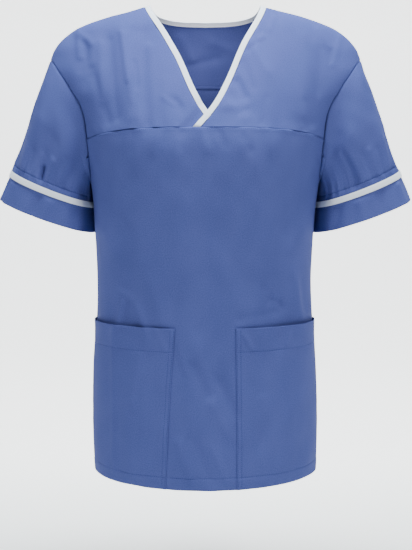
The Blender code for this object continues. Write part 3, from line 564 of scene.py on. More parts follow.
def panel_rows(top, spacing, fine_at):
    """Rows of a lower panel: along the armhole, then evenly to the hem."""
    seam = top + np.array(FINE_STEPS)
    beside_arm = armhole_rows(top, spacing)
    beside_arm = beside_arm[beside_arm > seam[-1] + FINE_STEPS[1]]
    below = places_between(ARMPIT, HEM, spacing, fine_at)[1:]
    return np.concatenate([seam, beside_arm, below])


def panel_columns(count):
    """Columns of a lower panel, with closer ones beside its side seams."""
    inside = np.linspace(-PANEL_INSIDE, PANEL_INSIDE, count)
    return np.concatenate([-1 + PANEL_EDGE, inside, (1 - PANEL_EDGE)[::-1]])


def panel_grid(face, top, column_count, row_spacing, fine_at):
    """Points of a whole lower panel, with closer rows at the drops that need detail."""
    turn, drop = panel_chart(panel_columns(column_count), panel_rows(top, row_spacing, fine_at), face)
    return body_skin(turn, drop, panel_lift(turn, drop, face))


FRONT_SPACING = 0.0034
LAP_SINK = 0.0036
LAP_MIDDLE = -0.020
LAP_HALF_RUN = 0.040
front_grid = panel_grid("front", YOKE_SEAM_END, 171, FRONT_SPACING, (HEM_STITCH, POCKET_TOP))
under_lap = smooth_step(1 - np.abs(front_grid[0, :, 0] - LAP_MIDDLE) / LAP_HALF_RUN)
front_grid = with_allowances(drawn_back(front_grid, ("top", "first", "last")), ("top",),
                             under=ALLOWANCE_SINK + LAP_SINK * under_lap)
cloth_piece("front_cloth", front_grid, "blue_cloth", "front_body")


# Pockets
# Two patch pockets of the same cloth. Each has a deep hem along its mouth, is topstitched along its inner
# edge and is caught in the side seam and in the hem of the tunic.

SEAM_GAP = 0.0003
SOLID_WALL = 0.0011
POCKET_GAPE = 0.0055
POCKET_GAPE_DROP = 0.060
GAPE_FULLNESS = 0.8
POCKET_HEM = 0.036
POCKET_TOPSTITCH = 0.0070
POCKET_HEM_DIP = (0.0011, 0.0005)
POCKET_HEM_GATHERS = (0.009, 0.0004, 0.007)
POCKET_HEM_RISE = 0.0004
TOPSTITCH_DIP = (0.0010, 0.0004)
POCKET_EDGE_DIP = (0.0012, 0.0004)
POCKET_EDGE_GATHERS = (0.014, 0.0006, 0.006)
POCKET_EDGE_GATHERS_PLACE = 0.003
POCKET_HEM_SLOPE = 1.02
MOUTH_ROLL = 0.001
POCKET_FINE_WIDTH = 0.012
POCKET_FINE_SPACING = 0.0014
PLAIN_COLUMN = 0.010
POCKET_SEED = {"right": 61, "left": 71}
LEAST_STAND_OFF = -0.0004
POCKET_CREASES = {
    "right": in_metres(
        (-76, 535, -86, 575, 5, -2.7), (-86, 532, -104, 590, 6, -2.1), (-94, 530, -110, 610, 7, 1.9),
        (-60, 520, -72, 492, 5, 1.9), (-140, 500, -142, 720, 5, 1.6), (-70, 600, -80, 690, 10, -2.1),
        (-120, 610, -112, 710, 10, 1.9), (-64, 640, -92, 700, 7, 1.9),
    ),
    "left": in_metres(
        (58, 500, 70, 520, 4, 2.4), (64, 545, 78, 585, 6, -2.1), (96, 530, 98, 560, 4, -1.9),
        (130, 530, 128, 600, 6, -2.1), (124, 490, 122, 516, 4, 1.9), (48, 618, 66, 645, 4, -2.9),
        (90, 600, 110, 700, 11, 2.1), (70, 650, 84, 710, 8, -2.1),
    ),
}


def part_of_front(columns, rows):
    """Turn and drop of the front's own chart at these columns and rows."""
    turn, drop = panel_chart(columns, np.concatenate([[YOKE_SEAM_END], rows]), "front")
    return turn[1:], drop[1:]


def pocket_columns(side, edge):
    """Columns of a pocket from its inner edge to the side seam."""
    beside_edge = places_between(0.0, POCKET_FINE_WIDTH, POCKET_FINE_SPACING, (POCKET_TOPSTITCH,))
    inner = edge + beside_edge / CHART_WIDTH
    outer = np.linspace(inner[-1] + PLAIN_COLUMN, PANEL_INSIDE, 62)
    columns = np.concatenate([inner, outer, (1 - PANEL_EDGE)[::-1]])
    return columns if side > 0 else -columns[::-1]


def pocket_lift(turn, drop, columns, hand):
    """The pocket stands off the front, gapes a little at its mouth, and dips and puckers at its sewing."""
    edge = POCKET_COLUMN[hand]
    across = (np.abs(columns) - edge) / (1 - edge)
    shut = (1 - (drop - POCKET_TOP) / POCKET_GAPE_DROP).clip(0, 1) ** 2
    gape = POCKET_GAPE * np.sin(np.pi * across.clip(0, 1)) ** GAPE_FULLNESS * shut
    x = body_form(turn, drop)[..., 0]
    from_edge = across[None, :] * (1 - edge) * CHART_WIDTH + 0 * drop
    from_mouth = drop - POCKET_TOP
    seed = POCKET_SEED[hand]
    sewing = groove(from_mouth - POCKET_HEM, *POCKET_HEM_DIP) + groove(from_edge, *POCKET_EDGE_DIP)
    sewing += groove(from_edge - POCKET_TOPSTITCH, *TOPSTITCH_DIP)
    sewing += puckers(x, from_mouth - POCKET_HEM, seed, *POCKET_HEM_GATHERS)
    sewing += puckers(drop, from_edge - POCKET_EDGE_GATHERS_PLACE, seed + 3, *POCKET_EDGE_GATHERS)
    doubled = smooth_step(1 - from_mouth / POCKET_HEM * POCKET_HEM_SLOPE)
    doubled *= smooth_step(from_mouth / MOUTH_ROLL)
    rise = fold_rise(POCKET_CREASES[hand], x, drop) + sewing + POCKET_HEM_RISE * doubled
    return SEAM_GAP + SOLID_WALL + gape + np.maximum(rise, LEAST_STAND_OFF)


for hand, side in HANDS.items():
    columns = pocket_columns(side, POCKET_COLUMN[hand])
    rows = places_between(POCKET_TOP, HEM, FRONT_SPACING, (POCKET_TOP, POCKET_TOP + POCKET_HEM, HEM_STITCH))
    turn, drop = part_of_front(columns, rows)
    lift = panel_lift(turn, drop, "front") + pocket_lift(turn, drop, columns, hand)
    grid = drawn_back(body_skin(turn, drop, lift), ("first", "last"))
    cloth_piece("pocket_cloth_" + hand, grid, "blue_cloth", "pocket_" + hand)


# Lower back
# One panel from the back yoke seam to the hem, in the same cloth and with the same hem as the front.

BACK_SPACING = 0.0044
back_grid = panel_grid("back", BACK_YOKE_END, 131, BACK_SPACING, (HEM_STITCH,))
back_grid = with_allowances(drawn_back(back_grid, ("top", "first", "last")), ("top", "first", "last"))
cloth_piece("back_cloth", back_grid, "blue_cloth", "back_body")


# Yokes
# Two front yokes and one across the back, joined along the shoulders. The right front yoke dips under the
# left one at the foot of the V, where the left one laps over it.

# Points of the neck edges, as drop and x in millimetres
FRONT_NECK = {
    "right": in_metres(
        (0.7, 94), (7, 92), (16.4, 86.9), (26.7, 80.3), (46.3, 67.6), (65.2, 56.6), (83.8, 46.2),
        (102, 37.8), (129.2, 26.2), (150, 15.5), (164.9, 5.7), (189.6, -11.2),
    ),
    "left": in_metres(
        (0.7, 94), (7, 92.7), (16, 89), (26.6, 83.7), (46.2, 72.7), (65.2, 62.2), (83.7, 53.7),
        (102, 46.2), (129.2, 34), (151.5, 22.2), (169, 10), (189.6, -7.6),
    ),
}
BACK_NECK = in_metres(
    (0.7, 94), (6, 90.5), (13, 81), (19, 62), (22, 38), (23, 0),
)
BINDING_WIDTH = 0.0087
LAP_DEPTH = 0.0031
LAP_RUN = 0.016
LAP_MARGIN = 0.007
LAP_SLANT = 1.36
YOKE_DIP = (0.0016, 0.0008)
YOKE_LIP = (0.0030, -0.0001)
YOKE_GATHER_SPACING = 0.012
YOKE_RUMPLE = {"seed": 41, "height": 0.0008}
YOKE_SEED = {"right": 97, "left": 83, "back": 113}
YOKE_BORDER = 0.020
BACK_YOKE_BORDER = 0.03
# Edge, height and reach
YOKE_GATHERS = (("top", 0.0003, 0.006), ("bottom", 0.0007, 0.010),
                ("first", 0.0003, 0.006), ("last", 0.0004, 0.008))
RIDGE_DRAW = 0.0004
CURVE_SAMPLES = 400
YOKE_CREASES = in_metres(
    (-146, 56, -132, 176, 6, -0.8), (-122, 50, -108, 150, 6, 1.4), (-112, 40, -100, 150, 6, -0.9),
    (-84, 70, -76, 186, 8, 1.2), (-172, 100, -146, 180, 7, -1.6), (-160, 60, -156, 150, 6, 1.2),
    (-198, 40, -192, 80, 6, 1.9), (-184, 60, -178, 110, 6, -0.9), (-50, 150, -38, 168, 7, -1),
    (-60, 120, -58, 180, 8, 0.9), (66, 60, 92, 106, 6, 1.4), (56, 92, 70, 130, 6, -1.4),
    (46, 120, 60, 160, 7, -1.1), (30, 150, 60, 176, 7, 1.1), (110, 60, 116, 176, 10, -1.2),
    (150, 50, 146, 170, 10, 1.4), (176, 70, 164, 180, 8, -1.2), (208, 50, 196, 92, 6, 1.4),
    (106, 18, 98, 40, 5, 1.1), (-128, 46, -116, 120, 4, 1.4), (-108, 90, -103, 130, 3.5, -1.4),
    (-100, 130, -98, 184, 4, 1), (-74, 30, -84, 58, 4, -1.2), (-190, 46, -176, 60, 6, 2),
    (-182, 62, -190, 100, 7, -1), (-42, 150, -36, 160, 5.5, -1.2), (-62, 146, -48, 156, 4, 1),
    (78, 60, 64, 74, 4, -1.6), (86, 52, 74, 62, 4, 1.4), (48, 120, 60, 142, 6, -2),
    (40, 140, 50, 168, 6, -1.6), (26, 160, 58, 156, 7, 1.6), (90, 146, 86, 182, 5, -1),
    (150, 150, 160, 186, 6, -1.2), (172, 40, 190, 64, 6, 1.4),
)


def turn_at_x(x, drop):
    """The turn at which the front of the body has this x."""
    n = ring_size("squareness", drop)
    share = np.clip((x - ring_size("middle_x", drop)) / ring_size("half_width", drop), -1.0, 1.0)
    return np.arctan2(share, (1 - np.abs(share) ** n) ** (1 / n))


def neck_line(table, shares, front):
    """Turn and drop along a neck edge, from the shoulder seam, at shares of its length."""
    drop, x = table.T
    places = np.arange(len(table), dtype=float)
    fine = np.linspace(0, len(table) - 1, CURVE_SAMPLES)
    fine_drop, fine_x = curve_through(fine, places, drop), curve_through(fine, places, x)
    fine_turn = turn_at_x(fine_x, fine_drop)
    if not front:
        fine_turn = np.pi - fine_turn
    run = np.linalg.norm(np.diff(body_form(fine_turn, fine_drop), axis=0), axis=-1)
    length = np.concatenate([[0.0], np.cumsum(run)])
    at = shares * length[-1]
    return np.interp(at, length, fine_turn), np.interp(at, length, fine_drop)


def shoulder_drop(x):
    """The drop at which the top line of the shoulder has this x."""
    drops = np.linspace(0.0, SHOULDER_TIP, CURVE_SAMPLES)
    return np.interp(x, ring_size("half_width", drops), drops)


def blended_patch(top, bottom, left, right, across, down):
    """Places inside four edge lines: the two ways of joining opposite edges, less the corners."""
    u = across[None, :, None]
    v = down[:, None, None]
    between_rows = (1 - v) * top[None] + v * bottom[None]
    between_columns = (1 - u) * left[:, None] + u * right[:, None]
    corners = ((1 - u) * (1 - v) * top[0] + u * (1 - v) * top[-1]
               + (1 - u) * v * bottom[0] + u * v * bottom[-1])
    return between_rows + between_columns - corners


def shares_with_detail(count, border):
    """Shares from 0 to 1, with closer ones in a border at each end."""
    near = border * np.array([0.0, 0.12, 0.26, 0.45, 0.70])
    return np.concatenate([near, np.linspace(border, 1 - border, count), (1 - near)[::-1]])


def lap_dip(x, drop):
    """How far the right yoke and its binding sink to pass under the left binding."""
    edge_x = curve_through(drop, *FRONT_NECK["left"].T)
    full_dip = edge_x - BINDING_WIDTH * LAP_SLANT - LAP_MARGIN
    return -LAP_DEPTH * smooth_step(1 - (full_dip - x) / LAP_RUN)


def yoke_sewing(grid, seed):
    """Dips and puckers of a yoke along its four edges."""
    across, down = run_lengths(grid, 1), run_lengths(grid, 0)
    near = {"top": down, "bottom": down[-1:] - down, "first": across, "last": across[:, -1:] - across}
    lift = np.zeros(grid.shape[:2])
    for number, (edge, height, reach) in enumerate(YOKE_GATHERS):
        run = across if edge in ("top", "bottom") else down
        lift += groove(near[edge], *(YOKE_LIP if edge == "bottom" else YOKE_DIP))
        lift += puckers(run, near[edge], seed + number, YOKE_GATHER_SPACING, height, reach)
    return lift


def front_yoke_chart(hand, down, across):
    """Turn and drop over a front yoke, counted on the wearer's left."""
    neck_turn, neck_drop = neck_line(FRONT_NECK[hand], down, front=True)
    arm_turn, arm_drop = armhole(FRONT_SPLIT * down, "front")
    neck_x = FRONT_NECK[hand][0, 1]
    shoulder_x = neck_x + (ring_size("half_width", SHOULDER_TIP) - neck_x) * across
    top_drop = shoulder_drop(shoulder_x)
    top = np.stack([np.full_like(top_drop, np.pi / 2), top_drop], -1)
    seam_turn = neck_turn[-1] + (arm_turn[-1] - neck_turn[-1]) * across
    bottom = np.stack([seam_turn, yoke_seam_drop(seam_turn)], -1)
    neck_edge = np.stack([neck_turn, neck_drop], -1)
    arm_edge = np.stack([arm_turn, arm_drop], -1)
    neck_edge[-1], arm_edge[-1] = bottom[0], bottom[-1]
    neck_edge[0], arm_edge[0] = top[0], top[-1]
    return blended_patch(top, bottom, neck_edge, arm_edge, across, down)


yoke_down, yoke_across = shares_with_detail(78, YOKE_BORDER), shares_with_detail(70, YOKE_BORDER)
for hand, side in HANDS.items():
    chart = front_yoke_chart(hand, yoke_down, yoke_across)
    turn, drop = side * chart[..., 0], chart[..., 1]
    place = body_form(turn, drop)
    lift = yoke_sewing(place, YOKE_SEED[hand])
    fine = fold_rise(YOKE_CREASES, place[..., 0], drop) + rumple(place[..., 0], drop, **YOKE_RUMPLE)
    lift = lift + fine * smooth_step(np.abs(np.cos(turn)) / FOLD_FADE)
    if side < 0:
        lift = lift + lap_dip(place[..., 0], drop)
    grid = body_skin(turn, drop, lift)
    if side < 0:
        grid = grid[:, ::-1]
    grid = drawn_back(drawn_back(grid, ("bottom", "first", "last")), ("top",), RIDGE_DRAW)
    cloth_piece("yoke_cloth_" + hand, grid, "blue_cloth", "front_yoke_" + hand)

shoulder_columns, neck_columns = shares_with_detail(34, BACK_YOKE_BORDER), np.linspace(0.0, 1.0, 28)
outer_x = ring_size("half_width", SHOULDER_TIP)
shoulder_x = outer_x + (BACK_NECK[0, 1] - outer_x) * shoulder_columns
shoulder = np.stack([np.full_like(shoulder_x, np.pi / 2), shoulder_drop(shoulder_x)], -1)
neck = np.stack(neck_line(BACK_NECK, neck_columns, front=False), -1)
half = np.concatenate([shoulder, neck[1:]])
other = np.stack([2 * np.pi - half[::-1, 0], half[::-1, 1]], -1)[1:]
back_top = np.concatenate([half, other])
across = run_lengths(body_form(back_top[:, 0], back_top[:, 1])[None], 1)[0]
across = across / across[-1]
back_yoke_down = shares_with_detail(34, BACK_YOKE_BORDER)
arm_turn, arm_drop = armhole(BACK_SPLIT * back_yoke_down, "back")
seam_turn = arm_turn[-1] + (2 * np.pi - 2 * arm_turn[-1]) * across
back_bottom = np.stack([seam_turn, back_seam_drop(seam_turn)], -1)
chart = blended_patch(back_top, back_bottom, np.stack([arm_turn, arm_drop], -1),
                      np.stack([2 * np.pi - arm_turn, arm_drop], -1), across, back_yoke_down)
turn, drop = chart[..., 0], chart[..., 1]
lift = yoke_sewing(body_form(turn, drop), YOKE_SEED["back"]) + creases(turn, drop)
grid = body_skin(turn, drop, lift)
grid = drawn_back(drawn_back(grid, ("bottom", "first", "last")), ("top",), RIDGE_DRAW)
cloth_piece("back_yoke_cloth", with_allowances(grid, ("top",)), "blue_cloth", "back_yoke")


# Neck binding
# White bias binding folded over the neck edge: one strip down each side of the V, the left one over the
# right one and cut off level in the yoke seam, and one round the back neck.

WHITE = (0.810, 0.845, 0.940)
WHITE_SHADE = (0.740, 0.775, 0.890)
TRIM_WALL = 0.0017
BINDING_CROWN = 0.0005
BINDING_GATHERS = (0.013, 0.00015, 1.0)
BINDING_SEED = {"right": 2513, "left": 2398, "back": 2372}
BINDING_ACROSS = np.array([0.0, 0.03, 0.08, 0.15, 0.25, 0.4, 0.5, 0.6, 0.75, 0.85, 0.92, 0.97, 1.0])
CLOTH["white_trim"] = cloth_material("white_twill_trim", WHITE_SHADE, WHITE, 1500.0, 0.70, sheen=0.15,
                                     unevenness=1.0, bump=0.4)


def binding_section(shares):
    """Height of the binding across its width: flat on top, rounded down at both folds."""
    return 0.4 + 0.6 * (1 - np.abs(2 * shares - 1) ** 4)


def binding_piece(place, turn, drop, lift, neckwards, cut_level=False):
    """A crowned strip of even width beside a neck edge. neckwards is the side of its line the neck is on."""
    edge = body_skin(turn, drop, lift)
    along = unit(np.gradient(edge, axis=0))
    facing = body_normal(turn, drop)
    inwards = unit(np.cross(facing, along)) * neckwards
    if cut_level:
        level = unit(body_form(turn[-1] - NORMAL_STEP, drop[-1]) - body_form(turn[-1], drop[-1]))
        inwards[-1] = level / (level @ inwards[-1])
    crown = BINDING_CROWN * binding_section(BINDING_ACROSS)
    run = run_lengths(edge[None], 1)[0]
    rise = puckers(run, 0 * run, BINDING_SEED[place], *BINDING_GATHERS)
    grid = (edge[None] + inwards[None] * BINDING_WIDTH * BINDING_ACROSS[:, None, None]
            + facing[None] * (crown[:, None, None] + rise[None, :, None]))
    if neckwards > 0:
        grid = grid[::-1]
    grid = drawn_back(grid, ("bottom" if neckwards > 0 else "top", "first", "last"))
    cloth_piece("neck_binding_cloth_" + place, grid, "white_trim", "neck_binding_" + place, wall=TRIM_WALL)


binding_shares = np.linspace(0.0, 1.0, 90)
for hand, side in HANDS.items():
    turn, drop = neck_line(FRONT_NECK[hand], binding_shares, front=True)
    drop[-1] = yoke_seam_drop(turn[-1:])[0]
    lift = 0.0 if side > 0 else lap_dip(body_form(-turn, drop)[..., 0] + BINDING_WIDTH, drop)
    binding_piece(hand, side * turn, drop, lift, -side, side > 0)
half_turn, half_drop = neck_line(BACK_NECK, np.linspace(0.0, 1.0, 44), front=False)
turn = np.concatenate([half_turn, 2 * np.pi - half_turn[-2::-1]])
drop = np.concatenate([half_drop, half_drop[-2::-1]])
binding_piece("back", turn, drop, 0.0, 1.0)


# Sleeves
# Short set-in sleeves of the blue cloth. Each ends in a band of the same cloth, with white tape sewn over
# the seam between them and a row of stitches just above the tape.

SleeveRing = namedtuple("SleeveRing", "outer_x outer_drop body_gap inner_drop half_depth")
TAPE_TOP = SleeveRing(0.3055, 0.2531, 0.0020, 0.3035, 0.052)
BAND_SEAM = SleeveRing(0.3075, 0.2578, 0.0020, 0.3083, 0.0523)
TAPE_BOTTOM = SleeveRing(0.3094, 0.2625, 0.0020, 0.3130, 0.0526)
SLEEVE_HEM = SleeveRing(0.3257, 0.2990, 0.0010, 0.3520, 0.055)
TUCK_IN = 0.0012
TUCK_BACK = 0.016
TUCK_START = 2.2
TUCK_RUN = 0.9
ARMPIT_GAP = 0.0006
SLEEVE_DIP = 0.079
SLEEVE_SPREAD = 0.55
SLEEVE_BULGE = 0.35
UNDERARM_START = 1.9
UNDERARM_RUN = 0.8
UNDERARM_EASE = 0.8
FOLD_RADIUS = 0.065
FOLD_LENGTH = 0.170
FOLD_UNITS = (FOLD_RADIUS, FOLD_LENGTH, FOLD_RADIUS, FOLD_LENGTH, 0.001, 0.001)

# Folds and creases of the sleeves: from turn and share of the length to turn and share, then half the width
# and the rise in millimetres. Those of the bands are in millimetres round from the top and down.
SLEEVE_FOLDS = {
    "right": np.array([
        (1.3, 0.5, 1.36, 1, 12, -2.6), (2.2, 0.2, 1.9, 0.9, 16, -3.4), (0.85, 0.45, 0.8, 0.98, 14, 2),
        (-1.2, 0.25, -1.35, 0.95, 15, -3), (-2, 0.2, -1.9, 0.9, 14, 2.6),
        (1.33, 0.8, 1.36, 0.99, 2.4, -5.4), (1.26, 0.66, 1.34, 0.92, 6, -1.2),
        (1.45, 0.66, 1.44, 0.99, 5, 1.6), (1.2, 0.7, 1.18, 0.95, 4, 1.4), (1.52, 0.66, 1.5, 0.95, 5, 1.4),
        (0.95, 0.72, 0.98, 0.96, 5, -1.2), (0.7, 0.75, 0.72, 0.96, 6, 1.2),
        (1.75, 0.5, 1.68, 0.92, 6, -1.6), (0.3, 0.6, 0.34, 0.95, 8, -1.1),
        (-0.8, 0.55, -0.84, 0.96, 7, 1.6), (-1.6, 0.45, -1.66, 0.94, 7, -1.6),
        (-2.3, 0.3, -2.2, 0.9, 8, 1.4),
    ]) * FOLD_UNITS,
    "left": np.array([
        (2, 0.25, 1.8, 0.9, 16, -3.4), (1.45, 0.4, 1.4, 0.98, 13, 2.2), (0.75, 0.5, 0.8, 0.98, 14, 2),
        (-1.1, 0.3, -1.25, 0.95, 15, 2.8), (-1.8, 0.25, -1.95, 0.9, 15, -3),
        (1.75, 0.4, 1.66, 0.95, 5, -1.9), (1.6, 0.55, 1.54, 0.96, 4.5, 1.6),
        (1.34, 0.6, 1.32, 0.96, 4.5, -1.6), (1.14, 0.66, 1.14, 0.97, 5, 1.4),
        (0.92, 0.7, 0.94, 0.97, 5, -1.4), (0.66, 0.66, 0.7, 0.96, 6, 1.2), (0.34, 0.6, 0.36, 0.95, 8, 1.1),
        (-0.7, 0.55, -0.76, 0.96, 7, -1.6), (-1.5, 0.45, -1.56, 0.94, 7, 1.6),
        (-2.2, 0.3, -2.1, 0.9, 8, -1.4),
    ]) * FOLD_UNITS,
}
CUFF_FOLDS = {
    "right": in_metres(
        (20, 0, 22, 45, 6, -2.2), (34, 0, 36, 45, 8, 1.6), (90, 0, 84, 45, 7, -3),
        (106, 0, 103, 45, 8, 2.4), (150, 0, 142, 45, 9, -2.4), (-80, 0, -88, 45, 9, -2.6),
    ),
    "left": in_metres(
        (40, 0, 38, 45, 7, 2), (74, 0, 78, 45, 8, -2.6), (110, 0, 104, 45, 7, 2.2),
        (140, 0, 146, 45, 8, -2.6), (-60, 0, -52, 45, 9, 2.6),
    ),
}
FOLD_START = 0.20
FOLD_END = 0.12
CUFF_LENGTH = 0.04
CUFF_GATHERS = (0.016, 0.0006, 0.02)
STITCH_DIP = (0.0011, 0.0009)
TAPE_DIP = (0.0010, 0.0003)
ARMHOLE_DIP = (0.0016, 0.0007)
SLEEVE_STITCH = 0.0090
SLEEVE_SEED = {"right": 149, "left": 131}
SLEEVE_GATHERS = (0.0070, 0.0023, 0.014)
# The hollow beside the lower armhole: metres below the seam, and turns round the sleeve
HOLLOW_DEPTH = 0.0075
HOLLOW_PLACE = 0.020
HOLLOW_HALF_WIDTH = 0.020
HOLLOW_START = 0.7
HOLLOW_GROWS = 0.9
HOLLOW_END = 2.65
HOLLOW_FADES = 1.1
SLEEVE_RUMPLE = 0.0007
SLEEVE_ALLOWANCE = {"depth": 0.007, "under": 0.0018}
TOP_FADE = 0.1
TAPE_FADE = 0.02
CUFF_RUMPLE = 0.0011
CUFF_TOP_FADE = 0.2
CUFF_SEAM_FADE = 0.5
BELOW_ARMHOLE = np.array([0.0, 0.0035, 0.0075, 0.0130, 0.0220])
TAPE_ACROSS = np.array([0.0, 0.04, 0.10, 0.18, 0.3, 0.5, 0.7, 0.82, 0.90, 0.96, 1.0])[:, None, None]
TAPE_CROWN = 0.0003


def sleeve_ring(ring, angle, side):
    """A tilted oval section of the sleeve, from its outer end (angle 0) by the front (over 0) to its inner
    end, which is tucked behind the side of the body.
    """
    outer = np.array([side * ring.outer_x, 0.0, -ring.outer_drop])
    inner_x = ring_size("half_width", ring.inner_drop) + ring.body_gap
    inner_x = inner_x + side * ring_size("middle_x", ring.inner_drop)
    inner = np.array([side * inner_x, 0.0, -ring.inner_drop])
    forward = np.array([0.0, -1.0, -SLEEVE_DIP]) * ring.half_depth
    centre = (outer + inner) / 2
    tucked = smooth_step((np.abs(angle) - TUCK_START) / TUCK_RUN)[..., None]
    across = np.cos(angle)[..., None] * (outer - inner) / 2
    return (centre + across + np.sin(angle)[..., None] * forward
            + tucked * (-side * TUCK_IN, TUCK_BACK, 0.0))


def outward_normals(tube, side):
    """The way a tube of rings faces, outwards. Its columns run round from the top by the front."""
    around = np.roll(tube, -1, axis=1) - np.roll(tube, 1, axis=1)
    along = np.gradient(tube, axis=0)
    return unit(np.cross(along, around)) * -side


def sleeve_edge(angle, side):
    """The armhole end of the sleeve, on the body's own line and just clear of it at the armpit."""
    front_turn, drop = armhole(np.abs(angle), "front")
    back_turn = armhole(np.abs(angle), "back")[0]
    turn = np.where(angle >= 0, front_turn, back_turn) * side
    return body_skin(turn, drop, ARMPIT_GAP * (1 - np.cos(angle)) / 2)


def folds_on_sleeve(hand, angle, share, above_tape):
    """Folds of a sleeve, faded out at the armhole and the tape, and its gathers at the row of stitches."""
    around = angle * FOLD_RADIUS + 0 * share
    rise = fold_rise(SLEEVE_FOLDS[hand], around, share * FOLD_LENGTH + 0 * angle)
    rise *= smooth_step(share / FOLD_START) * smooth_step((1 - share) / FOLD_END)
    gathers = puckers(around, above_tape - SLEEVE_STITCH, SLEEVE_SEED[hand] + 1, *SLEEVE_GATHERS)
    return rise + gathers * (share > TOP_FADE)


def sleeve_loft(angle, share, side):
    """Points that leave the armhole sideways and arrive at the tape in line with the band."""
    edge = sleeve_edge(angle, side)
    low = sleeve_ring(TAPE_TOP, angle, side)
    end = sleeve_ring(SLEEVE_HEM, angle, side)
    reach = np.linalg.norm(low - edge, axis=-1, keepdims=True)
    straight = 1 - UNDERARM_EASE * smooth_step((np.abs(angle) - UNDERARM_START) / UNDERARM_RUN)
    outwards = np.stack([side * SLEEVE_SPREAD * straight * np.abs(np.sin(angle)),
                         -SLEEVE_BULGE * straight * np.sin(angle), 0 * angle], -1)
    leave = unit(unit(low - edge) + outwards) * reach
    arrive = unit(end - low) * reach
    t = share[..., None]
    return ((1 + 2 * t) * (1 - t) ** 2 * edge + t * (1 - t) ** 2 * leave
            + t ** 2 * (3 - 2 * t) * low + t ** 2 * (t - 1) * arrive)


def armhole_hollow(angle, below):
    """The sleeve sinks behind the body beside the lower armhole: a trough along the seam, front and back."""
    from_top = np.abs(angle)
    low = smooth_step((from_top - HOLLOW_START) / HOLLOW_GROWS)
    low = low * smooth_step((HOLLOW_END - from_top) / HOLLOW_FADES)
    return -HOLLOW_DEPTH * low * np.exp(-((below - HOLLOW_PLACE) / HOLLOW_HALF_WIDTH) ** 2)


sleeve_angle = np.concatenate([np.linspace(0.0, np.pi, 141), -np.linspace(0.0, np.pi, 91)[-2:0:-1]])
BESIDE_TAPE = np.array([0.0140, 0.0125, 0.0112, 0.0102, 0.0096, 0.0090, 0.0084, 0.0078, 0.0068, 0.0055,
                        0.0040, 0.0026, 0.0014, 0.0])
for hand, side in HANDS.items():
    low = sleeve_ring(TAPE_TOP, sleeve_angle, side)
    reach = np.linalg.norm(low - sleeve_edge(sleeve_angle, side), axis=-1)
    upper = np.concatenate([BELOW_ARMHOLE, np.linspace(0.034, 1.0, 50)])[:-1, None]
    upper = upper * (1 - BESIDE_TAPE[0] / reach)
    share = np.concatenate([upper, 1 - BESIDE_TAPE[:, None] / reach])
    angle = sleeve_angle[None, :] + 0 * share
    loft = sleeve_loft(angle, share, side)
    above_tape = (1 - share) * reach
    seed = SLEEVE_SEED[hand]
    away_from_ends = smooth_step(share / TOP_FADE) * smooth_step(above_tape / TAPE_FADE)
    rise = folds_on_sleeve(hand, angle, share, above_tape)
    rise += rumple(angle * FOLD_RADIUS, above_tape, seed, SLEEVE_RUMPLE) * away_from_ends
    rise += groove(above_tape - SLEEVE_STITCH, *STITCH_DIP) + groove(above_tape, *TAPE_DIP)
    rise += groove(share * reach, *ARMHOLE_DIP) + armhole_hollow(angle, share * reach)
    loft = loft + rise[..., None] * outward_normals(loft, side)
    seam = sleeve_ring(BAND_SEAM, sleeve_angle, side)
    order = slice(None, None, 1 if side < 0 else -1)
    sleeve = drawn_back(np.concatenate([loft, seam[None]]), ("top", "bottom"))[:, order]
    sleeve = with_allowances(sleeve, ("top",), **SLEEVE_ALLOWANCE)
    cloth_piece("sleeve_cloth_" + hand, sleeve, "blue_cloth", "sleeve_" + hand, closed=True)

    under_tape = sleeve_ring(TAPE_BOTTOM, sleeve_angle, side)
    end = sleeve_ring(SLEEVE_HEM, sleeve_angle, side)
    down = np.concatenate([[0.0, 0.03, 0.08], np.linspace(0.16, 0.94, 14), [0.97, 1.0]])[:, None, None]
    band = np.concatenate([seam[None], under_tape + (end - under_tape) * down])
    run = down[..., 0] + 0 * sleeve_angle
    around, run_down = sleeve_angle * FOLD_RADIUS + 0 * run, run * CUFF_LENGTH
    swell = rumple(around, run_down, seed + 5, CUFF_RUMPLE)
    swell += puckers(around, run_down, seed + 7, *CUFF_GATHERS)
    swell += fold_rise(CUFF_FOLDS[hand], around, run_down)
    swell *= smooth_step((np.pi - np.abs(sleeve_angle)) / CUFF_SEAM_FADE)
    swell = np.concatenate([0 * swell[:1], swell * smooth_step(run / CUFF_TOP_FADE)])
    band = band + swell[..., None] * outward_normals(band, side)
    band = drawn_back(band, ("top",))[:, order]
    cloth_piece("cuff_cloth_" + hand, band, "blue_cloth", "cuff_" + hand, closed=True)

    tape = low * (1 - TAPE_ACROSS) + under_tape * TAPE_ACROSS
    lift = SEAM_GAP + SOLID_WALL + TAPE_CROWN * (1 - np.abs(2 * TAPE_ACROSS - 1) ** 6)
    tape = (tape + lift * outward_normals(tape, side))[:, order]
    cloth_piece("tape_cloth_" + hand, tape, "white_trim", "cuff_tape_" + hand, closed=True)


# Stitching
# Rows of blue thread, about three stitches to the centimetre and set into the cloth: along the hem, the
# pockets, the yoke seams and above the tape.

